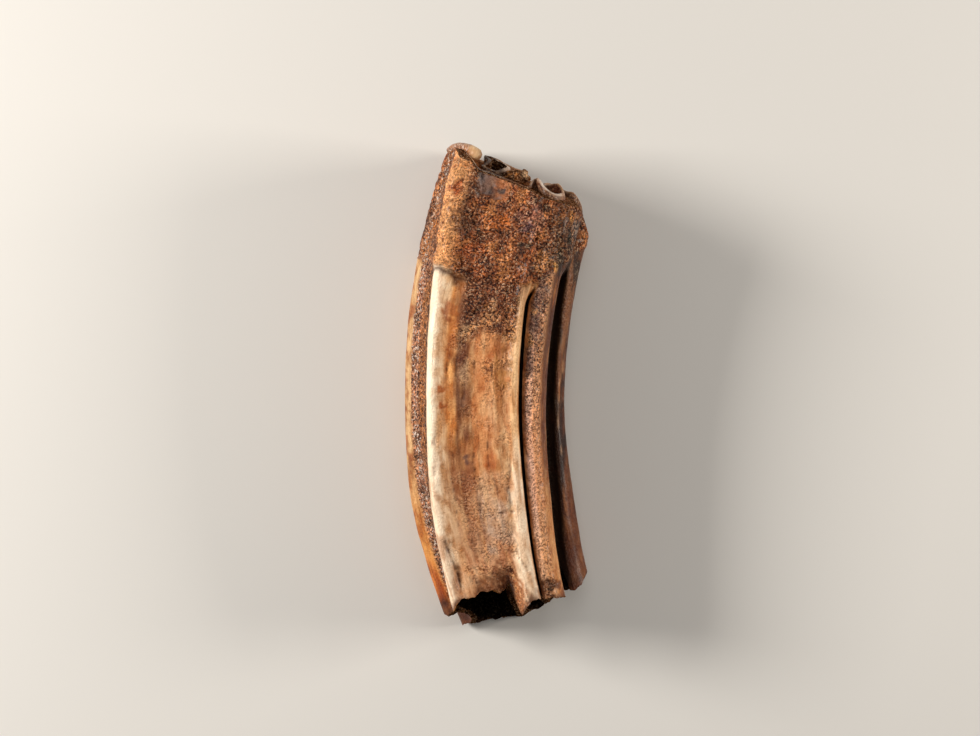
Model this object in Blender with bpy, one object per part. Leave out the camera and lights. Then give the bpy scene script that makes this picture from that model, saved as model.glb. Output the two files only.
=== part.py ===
# Fossil horse upper molar as one closed solid, lying on its mesial face.
# Run with: blender --background --python part.py
#
# +Y runs from the broken root end to the chewing end.
# -X is the cheek side and +X the tongue side.
# +Z is up, from the mesial face that the tooth lies on to the distal face.
#
# The body is a loft. Every cross-section has the same named landmarks, ridges and grooves,
# which drift a little between the crown and the root. The whole loft leans along one arc.

import math

import bmesh
import bpy
from mathutils import Matrix, Vector, noise

MM = 0.001

# Driving dimensions, in millimetres.
WIDTH = 27.0            # cheek to tongue, mesostyle to protocone
DEPTH = 24.0            # mesial face to distal face, at mid height
BEND_RADIUS = 105.0     # arc that the whole tooth follows, hollow towards the tongue
BEND_Y = -1.5           # height of the point of that arc that leans furthest to the cheek
CROWN_Y = 24.0          # heights at which the sections' drift is given
MIDDLE_Y = -2.3
ROOT_Y = -32.2
DRIFT_END = 37.0        # above this height the sections no longer change
CROWN_SWELL = 0.045     # share by which the depth grows at CROWN_Y
ROOT_TAPER = 0.11       # share by which the depth shrinks at ROOT_Y
BELLY = 0.045           # share by which the tooth is wider at BELLY_Y
BELLY_Y = -19.5
BELLY_TALL = 11.0
CRUST_LUMP = 0.5        # how far the lumps of the cement crust rise and fall
CRUST_LUMP_SIZE = 3.2   # how wide one of those lumps is
CRUST_STEP = 0.7        # height of the ledge at its lower edge
ENAMEL = 0.75           # thickness of an enamel fold on the chewing surface
ENAMEL_PROUD = 1.2      # how far it stands above the worn surface
ENAMEL_ROOTED = 2.4     # how far it reaches below
LAKE_DEEP = 2.0         # depth of the two lakes inside the closed folds
LAKE_ABOVE = 3.0        # how far their cutters reach above the worn surface
DENTINE_DEEP = 0.35     # hollow of the worn dentine
FURCATION_DEEP = 3.6    # notch between two roots at the broken edge
FURCATION_WIDE = 1.5
FURCATION_TALL = 7.0
FURCATION_BELOW = 0.4   # share of its depth that it has on the mesial side

# Sampling of the solid.
STEPS_BETWEEN_LANDMARKS = 2
OUTWARD_STEP = 0.4      # how far to either side, in landmarks, the outward direction is taken from
CARRY_PASSES = 6        # passes that settle where the bend carries a fold
RINGS_BELOW_CRUST = 19
RINGS_IN_CRUST = 12
LOFT_START = -45.0      # the loft runs past both ends and is cut back to them
LOFT_END = 43.0
END_PAST = 1.0          # how far the end cutters reach past the loft
END_ACROSS = (-19.0, 27.0)
END_UP = (-4.0, 30.0)
END_CELL = 1.7          # size of the cells of the worn and broken ends
END_STRAY = 0.35        # how far their corners stray, so that no row of them is straight
END_STRAY_SCALES = (40.0, 53.0)     # noise scales of that stray, across and up
SHARP_DEGREES = 40.0    # edges that turn by more than this are shaded sharp

# Landmarks of the cross-section, from the mesostyle over the distal face to the tongue side and
# back under the mesial face: across and up in shares of WIDTH and DEPTH, then how far across each
# has drifted at the crown and at the root.
LANDMARKS = [
    ("mesostyle", -0.498, 0.508, -0.020, -0.009),
    ("mesostyle_top", -0.472, 0.575, -0.022, 0.004),
    ("flute_start", -0.442, 0.618, -0.028, 0.025),
    ("flute", -0.385, 0.700, -0.035, 0.010),
    ("flute_end", -0.368, 0.805, -0.042, -0.030),
    ("metastyle_edge", -0.354, 0.915, -0.049, -0.055),
    ("metastyle", -0.330, 0.985, -0.043, -0.058),
    ("metastyle_foot", -0.290, 0.990, -0.037, -0.049),
    ("distal_cheek", -0.190, 0.960, -0.020, -0.045),
    ("distal", -0.045, 0.945, 0.000, -0.050),
    ("distal_tongue", 0.085, 0.962, 0.010, -0.075),
    ("ridge_foot", 0.148, 0.984, 0.012, -0.092),
    ("ridge", 0.185, 0.996, 0.006, -0.086),
    ("ridge_edge", 0.210, 0.965, -0.012, -0.062),
    ("groove_wall", 0.2125, 0.875, -0.012, -0.062),
    ("groove", 0.2235, 0.800, -0.013, -0.065),
    ("groove_far_wall", 0.234, 0.870, -0.013, -0.067),
    ("hypocone_edge", 0.239, 0.930, -0.012, -0.070),
    ("hypocone", 0.300, 0.955, 0.003, -0.080),
    ("hypocone_side", 0.350, 0.915, 0.018, -0.078),
    ("hypocone_tongue", 0.382, 0.820, 0.025, -0.077),
    ("valley_roof", 0.362, 0.705, 0.020, -0.075),
    ("valley_wall", 0.290, 0.620, 0.010, -0.060),
    ("valley", 0.215, 0.525, 0.000, -0.050),
    ("valley_floor", 0.285, 0.465, 0.000, -0.060),
    ("protocone_lip", 0.388, 0.468, 0.000, -0.085),
    ("protocone_edge", 0.460, 0.425, 0.000, -0.080),
    ("protocone", 0.508, 0.325, 0.018, -0.036),
    ("protocone_side", 0.490, 0.185, 0.020, -0.020),
    ("protocone_mesial", 0.430, 0.065, 0.010, -0.030),
    ("protocone_foot", 0.355, 0.008, 0.000, -0.040),
    ("mesial_groove", 0.280, 0.080, 0.000, -0.045),
    ("protoloph", 0.220, 0.010, 0.000, -0.045),
    ("mesial_tongue", 0.110, -0.008, 0.000, -0.030),
    ("mesial", -0.055, 0.012, 0.000, -0.020),
    ("mesial_cheek", -0.220, -0.006, -0.010, -0.010),
    ("parastyle_foot", -0.365, -0.010, -0.020, 0.000),
    ("parastyle", -0.447, 0.040, -0.025, 0.010),
    ("parastyle_top", -0.440, 0.118, -0.025, 0.010),
    ("mesial_flute_start", -0.395, 0.210, -0.020, 0.015),
    ("mesial_flute", -0.378, 0.310, -0.020, 0.015),
    ("mesial_flute_end", -0.412, 0.400, -0.022, 0.012),
    ("mesostyle_foot", -0.470, 0.450, -0.025, -0.010),
]

# Where cement fills a groove at the crown, its landmarks lie here instead.
FILLED = {
    "ridge_edge": (0.222, 0.977),
    "groove_wall": (0.236, 0.969),
    "groove": (0.249, 0.963),
    "groove_far_wall": (0.262, 0.958),
    "hypocone_edge": (0.275, 0.954),
    "valley_roof": (0.412, 0.740),
    "valley_wall": (0.415, 0.665),
    "valley": (0.392, 0.595),
    "valley_floor": (0.420, 0.540),
    "protocone_lip": (0.455, 0.500),
}
FILL_FADE = 3.5         # length over which the filling thins out below the crust

# Cement crust round the crown: where its ragged lower edge passes these landmarks, and how thick
# it is there.
CRUST_EDGE = [
    ("mesostyle", 20.5, 0.15), ("flute", 19.3, 0.30), ("metastyle", 19.6, 0.40),
    ("distal_cheek", 17.4, 0.50), ("distal", 17.0, 0.50), ("ridge", 16.2, 0.45),
    ("hypocone", 17.2, 0.50), ("hypocone_tongue", 20.0, 0.45), ("valley", 20.8, 0.35),
    ("protocone", 22.0, 0.15), ("mesial_groove", 19.0, 0.40), ("mesial", 17.4, 0.45),
    ("parastyle", 19.6, 0.35),
]

# Smooth facet near the chewing end of the distal face, rubbed free of crust by the next tooth:
# where its middle lies across and along the tooth, and its half sizes.
FACET_AT = (2.6, 34.0)
FACET_HALF = (3.6, 2.9)
FACET_FADE = (1.15, 0.95)       # shares of those sizes between which the crust gives way to it
FACET_FROM_UP = 0.8             # share of DEPTH above which it can lie

# Worn chewing surface, at these heights over the middle of the bend and falling towards the tongue.
WEAR_DISTAL = (35.4, -0.385)
WEAR_MIDDLE = (38.3, -0.440)
WEAR_MESIAL = (37.8, -0.430)
CHEEK_RIM = 1.7         # how much higher the distal corner on the cheek side still stands
CHEEK_RIM_FROM = (-0.6, -2.6)
CHEEK_RIM_UP = (0.5, 1.0)       # shares of DEPTH between which that corner rises
ROUND_CHEEK = (-5.4, 0.45)      # beyond these, how fast the worn corners round off
ROUND_TONGUE = (15.0, 0.55)

# Broken edge of the root end, as points across and up the tooth, on the distal and mesial walls.
BREAK_DISTAL = [
    (-8.6, -38.4), (-6.2, -39.2), (-5.2, -38.3), (-4.6, -36.6), (-3.7, -35.7), (-1.5, -35.5),
    (-0.7, -34.7), (1.0, -34.2), (2.7, -34.9), (3.5, -34.2), (4.2, -33.2), (5.0, -35.4),
    (5.8, -37.6), (6.4, -38.6), (7.2, -37.2), (8.0, -36.2), (9.3, -35.6), (11.3, -35.4),
    (12.8, -36.2), (15.1, -36.2), (18.0, -35.2),
]
BREAK_MESIAL = [
    (-8.6, -39.6), (-6.3, -41.2), (-4.4, -42.2), (-3.1, -41.5), (-0.7, -41.2), (2.9, -40.5),
    (4.5, -40.2), (6.6, -40.3), (8.6, -39.0), (10.4, -38.2), (12.8, -36.6), (15.8, -35.5),
    (18.5, -34.8),
]
BREAK_JAG = 0.35        # how far the chips along the broken edge rise and fall
BREAK_JAG_SIZE = 1.7    # how wide one chip is
BREAK_BLEND = (0.15, 0.55)      # shares of DEPTH between which the mesial edge becomes the distal
FURCATION_AT = (4.2, -36.5)

# Open pulp hollows at the root end: a name, the height of the inner end, and the outline at the
# mouth in section millimetres.
HOLLOWS = [
    ("cheek_hollow", -22.5, [
        (-9.5, 18.4), (-9.0, 15.2), (-10.6, 12.2), (-11.2, 10.6), (-10.2, 9.0), (-8.6, 6.6),
        (-9.4, 4.0), (-9.2, 2.4), (-7.2, 1.8), (-4.6, 2.6), (-2.5, 3.9), (-1.5, 6.2),
        (-2.0, 8.6), (-1.6, 11.2), (-2.4, 13.6), (-3.4, 15.8), (-4.0, 17.7), (-6.8, 18.4),
    ]),
    ("tongue_hollow", -25.5, [
        (1.6, 17.2), (0.6, 14.8), (1.2, 12.0), (0.5, 9.2), (1.1, 6.2), (2.6, 4.2), (4.2, 4.4),
        (4.0, 7.0), (3.1, 9.4), (2.9, 11.6), (3.4, 13.8), (5.3, 15.5), (5.9, 17.0), (3.0, 16.0),
    ]),
    ("protocone_hollow", -27.5, [
        (6.2, 3.4), (8.4, 2.5), (10.6, 3.6), (11.4, 5.8), (10.2, 7.6), (8.4, 8.6), (6.5, 7.8),
        (5.9, 5.6),
    ]),
]
HOLLOW_MOUTH = -37.0    # height from which the hollows narrow
HOLLOW_START = -45.0    # their cutters start below the broken edge
HOLLOW_END = 0.4        # share of its outline that a hollow narrows to at its inner end
HOLLOW_LEVELS = (0.0, 0.25, 0.5, 0.7, 0.85, 0.95, 1.0)      # shares of its depth with a ring

# Enamel folds on the chewing surface, in section millimetres.
OUTER_FOLD = [
    (-11.9, 1.9), (-10.6, 3.6), (-9.9, 6.2), (-10.2, 9.0), (-12.0, 11.2), (-13.2, 12.8),
    (-12.0, 14.2), (-10.4, 16.0), (-10.2, 19.0), (-10.9, 22.0), (-10.4, 23.5), (-8.5, 23.5),
    (-5.5, 22.9), (-1.5, 22.5), (1.5, 22.9), (3.4, 23.2), (4.3, 22.0), (4.4, 20.4),
    (5.4, 20.6), (6.0, 22.3), (7.6, 22.8), (9.2, 21.6), (9.8, 19.6), (8.6, 17.6),
    (6.2, 16.4), (4.2, 14.8), (3.5, 12.6), (4.2, 10.2), (5.7, 8.8), (7.3, 9.8),
    (8.6, 12.0), (10.4, 12.2), (12.2, 10.2), (13.2, 7.6), (12.8, 5.0), (11.2, 3.0),
    (9.2, 2.3), (7.6, 3.6), (5.6, 2.0), (2.0, 1.5), (-2.0, 1.8), (-6.0, 1.4), (-9.6, 1.1),
]
PREFOSSETTE = [
    (-7.6, 3.4), (-4.5, 3.6), (-1.5, 4.4), (0.6, 6.2), (0.4, 8.6), (-1.2, 10.6), (-3.6, 11.3),
    (-7.4, 10.8), (-5.8, 9.6), (-4.8, 8.6), (-5.8, 7.4), (-5.9, 5.6),
]
POSTFOSSETTE = [
    (-8.0, 14.4), (-5.4, 13.8), (-3.2, 14.4), (-1.8, 16.0), (-1.6, 18.0), (-2.8, 19.8),
    (-5.0, 20.7), (-8.2, 20.6), (-6.6, 19.2), (-6.2, 17.6), (-6.6, 16.0),
]

COLOUR = (0.42, 0.25, 0.12, 1.0)
ROUGHNESS = 0.55

INDEX = {row[0]: number for number, row in enumerate(LANDMARKS)}


def smooth(low, high, value):
    """0 below low, 1 above high, and an even slope between them."""
    share = min(1.0, max(0.0, (value - low) / (high - low)))
    return share * share * (3.0 - 2.0 * share)


def along(points, value):
    """Height of a broken line through points at this value."""
    if value <= points[0][0]:
        return points[0][1]
    for (x0, y0), (x1, y1) in zip(points, points[1:]):
        if value <= x1:
            return y0 + (y1 - y0) * (value - x0) / (x1 - x0)
    return points[-1][1]


def bend(y):
    """How far the arc of the tooth has carried a section towards the tongue."""
    rise = y - BEND_Y
    return BEND_RADIUS - math.sqrt(BEND_RADIUS ** 2 - rise ** 2)


def drift(y):
    """Weights of the crown's and the root's drift: a parabola through the three given heights."""
    crown = (y - ROOT_Y) * (y - MIDDLE_Y) / ((CROWN_Y - ROOT_Y) * (CROWN_Y - MIDDLE_Y))
    root = (y - MIDDLE_Y) * (y - CROWN_Y) / ((ROOT_Y - MIDDLE_Y) * (ROOT_Y - CROWN_Y))
    return crown, root


def round_section(column, place):
    """One column of the crust's table at this place round the section, counted in landmarks."""
    stops = [(INDEX[row[0]], row[column]) for row in CRUST_EDGE]
    stops.append((len(LANDMARKS), stops[0][1]))
    return along(stops, place)


def crust_edge(place):
    """Height of the crust's lower edge at this place."""
    return round_section(1, place)


def facet(x, y, z):
    """1 inside the smooth facet of the distal face, 0 outside."""
    across = abs(x - FACET_AT[0]) / FACET_HALF[0]
    tall = abs(y - FACET_AT[1]) / FACET_HALF[1]
    return smooth(*FACET_FADE, max(across, tall)) if z > FACET_FROM_UP * DEPTH else 0.0


def landmark(number, y):
    """Where a landmark lies on the section at height y, in section millimetres."""
    name, across, up, at_crown, at_root = LANDMARKS[number % len(LANDMARKS)]
    crown, root = drift(min(y, DRIFT_END))
    if name in FILLED:
        edge = crust_edge(number % len(LANDMARKS))
        share = smooth(edge - FILL_FADE, edge, y)
        across += (FILLED[name][0] - across) * share
        up += (FILLED[name][1] - up) * share
    across += at_crown * crown + at_root * root
    across *= 1.0 + BELLY * math.exp(-((y - BELLY_Y) / BELLY_TALL) ** 2)
    up *= 1.0 + CROWN_SWELL * crown - ROOT_TAPER * root
    return across * WIDTH, up * DEPTH


def section(place, y):
    """Point of the section at height y, on a smooth closed curve through its landmarks."""
    first = math.floor(place)
    t = place - first
    a, b, c, d = (landmark(first + step, y) for step in (-1, 0, 1, 2))
    return tuple(
        0.5 * (2 * q + (r - p) * t + (2 * p - 5 * q + 4 * r - s) * t * t
               + (3 * q - p - 3 * r + s) * t ** 3)
        for p, q, r, s in zip(a, b, c, d)
    )


def outward(place, y):
    """Outward direction of the section at this place."""
    x0, z0 = section(place - OUTWARD_STEP, y)
    x1, z1 = section(place + OUTWARD_STEP, y)
    return Vector((z0 - z1, x1 - x0)).normalized()


def furcation(x, y):
    """How far the notch between two roots cuts in, at x across the tooth and height y."""
    centre, full = FURCATION_AT
    beside = math.exp(-((x - centre) / FURCATION_WIDE) ** 2)
    return FURCATION_DEEP * beside * smooth(full + FURCATION_TALL, full, y)


def surface(place, y):
    """Point of the outer surface, in millimetres."""
    x, z = section(place, y)
    rise = smooth(0.0, CRUST_STEP, y - crust_edge(place)) * (1.0 - facet(x + bend(y), y, z))
    if rise:
        lump = CRUST_LUMP * noise.noise(Vector((x, y, z)) / CRUST_LUMP_SIZE)
        across, up = outward(place, y)
        thick = rise * (round_section(2, place) + lump)
        x += across * thick
        z += up * thick
    x += bend(y)
    notch = furcation(x, y)
    if z > DEPTH / 2:
        z -= notch
    else:
        z += FURCATION_BELOW * notch
    return x, y, max(z, 0.0)


def worn(x, z):
    """Height of the worn chewing surface over this point."""
    distal, middle, mesial = (
        height + fall * x for height, fall in (WEAR_DISTAL, WEAR_MIDDLE, WEAR_MESIAL)
    )
    share = z / DEPTH
    y = (mesial * (1 - share) * (1 - 2 * share) + middle * 4 * share * (1 - share)
         + distal * share * (2 * share - 1))
    y += CHEEK_RIM * smooth(*CHEEK_RIM_FROM, x) * smooth(*CHEEK_RIM_UP, share)
    y -= ROUND_CHEEK[1] * min(0.0, x - ROUND_CHEEK[0]) ** 2
    y -= ROUND_TONGUE[1] * max(0.0, x - ROUND_TONGUE[0]) ** 2
    return y


def broken(x, z):
    """Height of the broken root end at this point."""
    share = smooth(*BREAK_BLEND, z / DEPTH)
    edge = along(BREAK_MESIAL, x) * (1 - share) + along(BREAK_DISTAL, x) * share
    return edge + BREAK_JAG * noise.noise(Vector((x, 0.0, z)) / BREAK_JAG_SIZE)


def rings():
    """Rings of the loft, from below the broken end to above the worn one, in millimetres."""
    count = len(LANDMARKS) * STEPS_BETWEEN_LANDMARKS
    places = [number / STEPS_BETWEEN_LANDMARKS for number in range(count)]
    made = []
    for number in range(RINGS_BELOW_CRUST + 1):
        share = number / RINGS_BELOW_CRUST
        made.append([
            surface(place, LOFT_START + (crust_edge(place) - LOFT_START) * share)
            for place in places
        ])
    for number in range(RINGS_IN_CRUST + 1):
        share = number / RINGS_IN_CRUST
        made.append([
            surface(place, crust_edge(place) + CRUST_STEP
                    + (LOFT_END - crust_edge(place) - CRUST_STEP) * share)
            for place in places
        ])
    return made


def point(x, y, z):
    """A point given in millimetres."""
    return Vector((x * MM, y * MM, z * MM))


def start_ring(bm, ring):
    """A closed ring of edges through these points, numbered so that later rings can follow."""
    column = bm.verts.layers.int.get("column") or bm.verts.layers.int.new("column")
    verts = [bm.verts.new(point(*place)) for place in ring]
    for number, vert in enumerate(verts):
        vert[column] = number
    return [bm.edges.new(pair) for pair in zip(verts, verts[1:] + verts[:1])]


def extrude_ring(bm, edges, ring):
    """Extrudes a ring of edges to these points and returns the new ring."""
    column = bm.verts.layers.int["column"]
    made = bmesh.ops.extrude_edge_only(bm, edges=edges)["geom"]
    verts = {item for item in made if isinstance(item, bmesh.types.BMVert)}
    for vert in verts:
        vert.co = point(*ring[vert[column]])
    return [
        item for item in made
        if isinstance(item, bmesh.types.BMEdge) and verts.issuperset(item.verts)
    ]


def inside(outline, x, z):
    """Whether a point lies inside a closed outline of (across, up) points."""
    hit = False
    for (x0, z0), (x1, z1) in zip(outline, outline[1:] + outline[:1]):
        if (z0 > z) != (z1 > z) and x < x0 + (x1 - x0) * (z - z0) / (z1 - z0):
            hit = not hit
    return hit


def on_crown(outline):
    """A fold's outline moved from the section to where the bend carries it at the chewing end."""
    moved = []
    for x, z in outline:
        carried = x
        for _ in range(CARRY_PASSES):
            carried = x + bend(worn(carried, z))
        moved.append((carried, z))
    return moved


# Edge of the worn dentine, where the outer fold lies on the chewing surface.
DENTINE = on_crown(OUTER_FOLD)


def table(x, z):
    """Height of the chewing surface, which is hollowed where dentine lies inside the outer fold."""
    y = worn(x, z)
    return y - DENTINE_DEEP if inside(DENTINE, x, z) else y


def end_cutter(name, height, far):
    """A closed block that cuts one end of the loft to the given height."""
    low, high = END_ACROSS
    bottom, top = END_UP
    cells_x = round((high - low) / END_CELL)
    cells_z = round((top - bottom) / END_CELL)
    bm = bmesh.new()
    grid = bmesh.ops.create_grid(bm, x_segments=cells_x, y_segments=cells_z, size=0.5)["verts"]
    for vert in grid:
        stray_x, stray_z = (END_STRAY * noise.noise(vert.co * scale) for scale in END_STRAY_SCALES)
        x = low + (vert.co.x + 0.5) * (high - low) + stray_x
        z = bottom + (vert.co.y + 0.5) * (top - bottom) + stray_z
        vert.co = point(x, height(x, z), z)
    border = [edge for edge in bm.edges if edge.is_boundary]
    made = bmesh.ops.extrude_edge_only(bm, edges=border)["geom"]
    for vert in made:
        if isinstance(vert, bmesh.types.BMVert):
            vert.co.y = far * MM
    far_edges = [edge for edge in made if isinstance(edge, bmesh.types.BMEdge) and edge.is_boundary]
    bmesh.ops.contextual_create(bm, geom=far_edges)
    return hide(new_object(name, bm))


def hollow_ring(outline, y, end):
    """Ring of a pulp hollow at height y."""
    middle_x = sum(x for x, _ in outline) / len(outline)
    middle_z = sum(z for _, z in outline) / len(outline)
    share = max(0.0, (y - HOLLOW_MOUTH) / (end - HOLLOW_MOUTH))
    width = 1.0 - (1.0 - HOLLOW_END) * share ** 2
    return [
        (middle_x + (x - middle_x) * width + bend(y), y, middle_z + (z - middle_z) * width)
        for x, z in outline
    ]


def hollow_cutter(name, end, outline):
    """A closed plug in the shape of a pulp hollow."""
    outline = rounded(outline)
    levels = [hollow_ring(outline, HOLLOW_START, end)]
    for share in HOLLOW_LEVELS:
        y = HOLLOW_MOUTH + (end - HOLLOW_MOUTH) * share
        levels.append(hollow_ring(outline, y, end))
    return hide(loft(name, levels))


def new_object(name, bm):
    """Turns a bmesh into an object with outward faces."""
    bmesh.ops.triangulate(bm, faces=bm.faces)
    bmesh.ops.recalc_face_normals(bm, faces=bm.faces)
    mesh = bpy.data.meshes.new(name)
    bm.to_mesh(mesh)
    bm.free()
    made = bpy.data.objects.new(name, mesh)
    bpy.context.scene.collection.objects.link(made)
    return made


def hide(helper):
    """Hides an object that only shapes the tooth."""
    helper.hide_render = True
    helper.display_type = "WIRE"
    return helper


def loft(name, levels):
    """A closed solid through these rings, flat at both ends."""
    bm = bmesh.new()
    foot = edges = start_ring(bm, levels[0])
    for ring in levels[1:]:
        edges = extrude_ring(bm, edges, ring)
    bmesh.ops.contextual_create(bm, geom=foot)
    bmesh.ops.contextual_create(bm, geom=edges)
    return new_object(name, bm)


def offset_outline(outline, distance):
    """A closed outline moved sideways by this distance."""
    moved = []
    count = len(outline)
    for number, (x, z) in enumerate(outline):
        x0, z0 = outline[number - 1]
        x1, z1 = outline[(number + 1) % count]
        side = Vector((z1 - z0, x0 - x1)).normalized() * distance
        moved.append((x + side.x, z + side.y))
    return moved


def rounded(outline):
    """A smooth closed line through the points, with one more point in the middle of each side."""
    line = []
    for number, (x, z) in enumerate(outline):
        before, after, beyond = (
            outline[(number + step) % len(outline)] for step in (-1, 1, 2))
        line.append((x, z))
        line.append(tuple(
            (9 * (here + there) - near - far) / 16
            for here, there, near, far in zip((x, z), after, before, beyond)))
    return line


def enamel_fold(name, outline):
    """A closed wall of enamel that stands a little above the chewing surface."""
    carried = on_crown(rounded(outline))
    near = offset_outline(carried, -ENAMEL / 2)
    far = offset_outline(carried, ENAMEL / 2)
    levels = [
        [(x, worn(x, z) + height, z) for x, z in side]
        for side, height in (
            (near, -ENAMEL_ROOTED), (near, ENAMEL_PROUD), (far, ENAMEL_PROUD), (far, -ENAMEL_ROOTED))
    ]
    bm = bmesh.new()
    foot = edges = start_ring(bm, levels[0])
    for ring in levels[1:]:
        edges = extrude_ring(bm, edges, ring)
    bmesh.ops.bridge_loops(bm, edges=foot + edges)
    return hide(new_object(name, bm))


def plug(name, outline, distance, low, high):
    """A closed plug inside an outline moved outwards, between two heights over the worn surface."""
    side = offset_outline(on_crown(rounded(outline)), distance)
    levels = [[(x, worn(x, z) + height, z) for x, z in side] for height in (low, high)]
    return hide(loft(name, levels))


def combine(body, other, operation):
    """Joins or cuts the body with a helper."""
    change = body.modifiers.new(other.name, "BOOLEAN")
    change.operation = operation
    change.solver = "EXACT"
    change.object = other


def tooth_material():
    """Plain brown stained tooth."""
    material = bpy.data.materials.new("tooth")
    material.use_nodes = True
    shader = material.node_tree.nodes["Principled BSDF"]
    shader.inputs["Base Color"].default_value = COLOUR
    shader.inputs["Roughness"].default_value = ROUGHNESS
    return material


def stand_on_origin(objects):
    """Moves everything so that the middle of the finished tooth's underside is the origin."""
    finished = objects[0].evaluated_get(bpy.context.evaluated_depsgraph_get())
    corners = [Vector(corner) for corner in finished.bound_box]
    low = Vector([min(corner[axis] for corner in corners) for axis in range(3)])
    high = Vector([max(corner[axis] for corner in corners) for axis in range(3)])
    shift = Vector(((low.x + high.x) / 2, (low.y + high.y) / 2, low.z))
    for item in objects:
        item.data.transform(Matrix.Translation(-shift))
    print("shifted by", [round(value / MM, 3) for value in shift])


def main():
    for old in list(bpy.data.objects):
        bpy.data.objects.remove(old)
    body = loft("molar", rings())
    ends = [
        end_cutter("wear", table, LOFT_END + END_PAST),
        end_cutter("break", broken, LOFT_START - END_PAST),
    ]
    hollows = [hollow_cutter(*hollow) for hollow in HOLLOWS]
    folds = [enamel_fold("outer_fold", OUTER_FOLD)]
    lakes = []
    for name, outline in (("prefossette", PREFOSSETTE), ("postfossette", POSTFOSSETTE)):
        folds.append(plug(name, outline, ENAMEL / 2, -ENAMEL_ROOTED, ENAMEL_PROUD))
        lakes.append(plug(name + "_lake", outline, -ENAMEL / 2, -LAKE_DEEP, LAKE_ABOVE))
    for cutter in [*ends, *hollows]:
        combine(body, cutter, "DIFFERENCE")
    for fold in folds:
        combine(body, fold, "UNION")
    for lake in lakes:
        combine(body, lake, "DIFFERENCE")
    stand_on_origin([body, *ends, *hollows, *folds, *lakes])
    body.data.materials.append(tooth_material())
    body.data.shade_smooth()
    body.data.set_sharp_from_angle(angle=math.radians(SHARP_DEGREES))


main()
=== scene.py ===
# %% [markdown]
# A fossil horse molar, lying on its mesial face under soft studio light.
# A horse's upper cheek tooth is a tall column that the animal wears down from the top for years.
# Its wall is folded into ribs and flutes, cement coats it, and the fossil's minerals stained it.
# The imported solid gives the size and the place. This script makes the same tooth again with a
# much finer skin, so that it can carry the pits, the ragged crust, the cracks and the stains.

import bmesh
import bpy
import numpy as np
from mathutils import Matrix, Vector, kdtree, noise


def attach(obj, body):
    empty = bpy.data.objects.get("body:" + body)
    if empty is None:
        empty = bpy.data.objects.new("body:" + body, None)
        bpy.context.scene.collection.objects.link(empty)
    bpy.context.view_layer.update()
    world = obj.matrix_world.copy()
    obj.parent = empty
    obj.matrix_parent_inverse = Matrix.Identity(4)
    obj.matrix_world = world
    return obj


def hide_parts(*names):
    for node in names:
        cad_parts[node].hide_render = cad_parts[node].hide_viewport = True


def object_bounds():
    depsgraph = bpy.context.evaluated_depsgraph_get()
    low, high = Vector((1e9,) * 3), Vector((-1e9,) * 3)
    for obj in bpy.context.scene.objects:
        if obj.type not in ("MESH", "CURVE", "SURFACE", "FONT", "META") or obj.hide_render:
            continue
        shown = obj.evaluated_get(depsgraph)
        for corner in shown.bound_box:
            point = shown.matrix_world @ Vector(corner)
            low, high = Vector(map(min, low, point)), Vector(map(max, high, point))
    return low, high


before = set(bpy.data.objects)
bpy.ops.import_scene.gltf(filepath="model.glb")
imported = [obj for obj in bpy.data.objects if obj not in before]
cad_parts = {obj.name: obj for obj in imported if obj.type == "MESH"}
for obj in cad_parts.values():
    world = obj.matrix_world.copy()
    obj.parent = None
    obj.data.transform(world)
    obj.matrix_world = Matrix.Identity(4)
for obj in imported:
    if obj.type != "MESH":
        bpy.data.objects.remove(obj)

MM = 0.001
solid_low, solid_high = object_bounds()
print("the solid measures", [round(side / MM, 1) for side in solid_high - solid_low], "mm")

# %% [markdown]
# The camera looks straight down, as the photographer's did.
# A long lens is used, because a short one would spread the ribs apart.
# Its height follows from the size of one pixel on the face of the tooth that is turned to it.

# %% Place the camera
IMAGE_WIDE = 980            # pixels across the photograph
PIXEL = 0.166               # millimetres that one pixel covers on the upper face
LENS = 100.0
SENSOR = 36.0
FACE_UP = 24.0              # height of the upper face over the floor
LOOK_AT = (-1.50, 3.13)     # point of the tooth under the middle of the picture

camera = bpy.data.objects.new("camera", bpy.data.cameras.new("camera"))
camera.data.lens = LENS
camera.data.sensor_width = SENSOR
camera_up = FACE_UP + PIXEL * IMAGE_WIDE * LENS / SENSOR
camera.location = (LOOK_AT[0] * MM, LOOK_AT[1] * MM, camera_up * MM)
bpy.context.scene.collection.objects.link(camera)
bpy.context.scene.camera = camera
print("the camera is", round(camera_up), "mm over the floor")

# %% [markdown]
# The cross-section is a ring of named landmarks, each a rib, a groove or a wall of the real tooth.
# They are given in shares of the width and the depth, with how far each wanders towards the crown
# and the root, so a few dozen rows describe the whole column.
# A traced outline for every height would need thousands of numbers and could not be changed.

# %% The sizes of the tooth and the landmarks of its section
WIDTH = 27.0                # millimetres, cheek to tongue
DEPTH = 24.0                # mesial face to distal face
BEND_RADIUS = 105.0         # the tooth follows this arc, hollow towards the tongue
BEND_Y = -1.5
CROWN_Y, MIDDLE_Y, ROOT_Y = 24.0, -2.3, -32.2
DRIFT_END = 37.0
CROWN_SWELL, ROOT_TAPER = 0.045, 0.11
BELLY, BELLY_Y, BELLY_TALL = 0.045, -19.5, 11.0
OUTWARD_STEP = 0.4          # the outward direction is taken this far to both sides, in landmarks
OUTWARD_STEP_CRUST = 1.8    # and this far where cement bridges a groove

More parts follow.
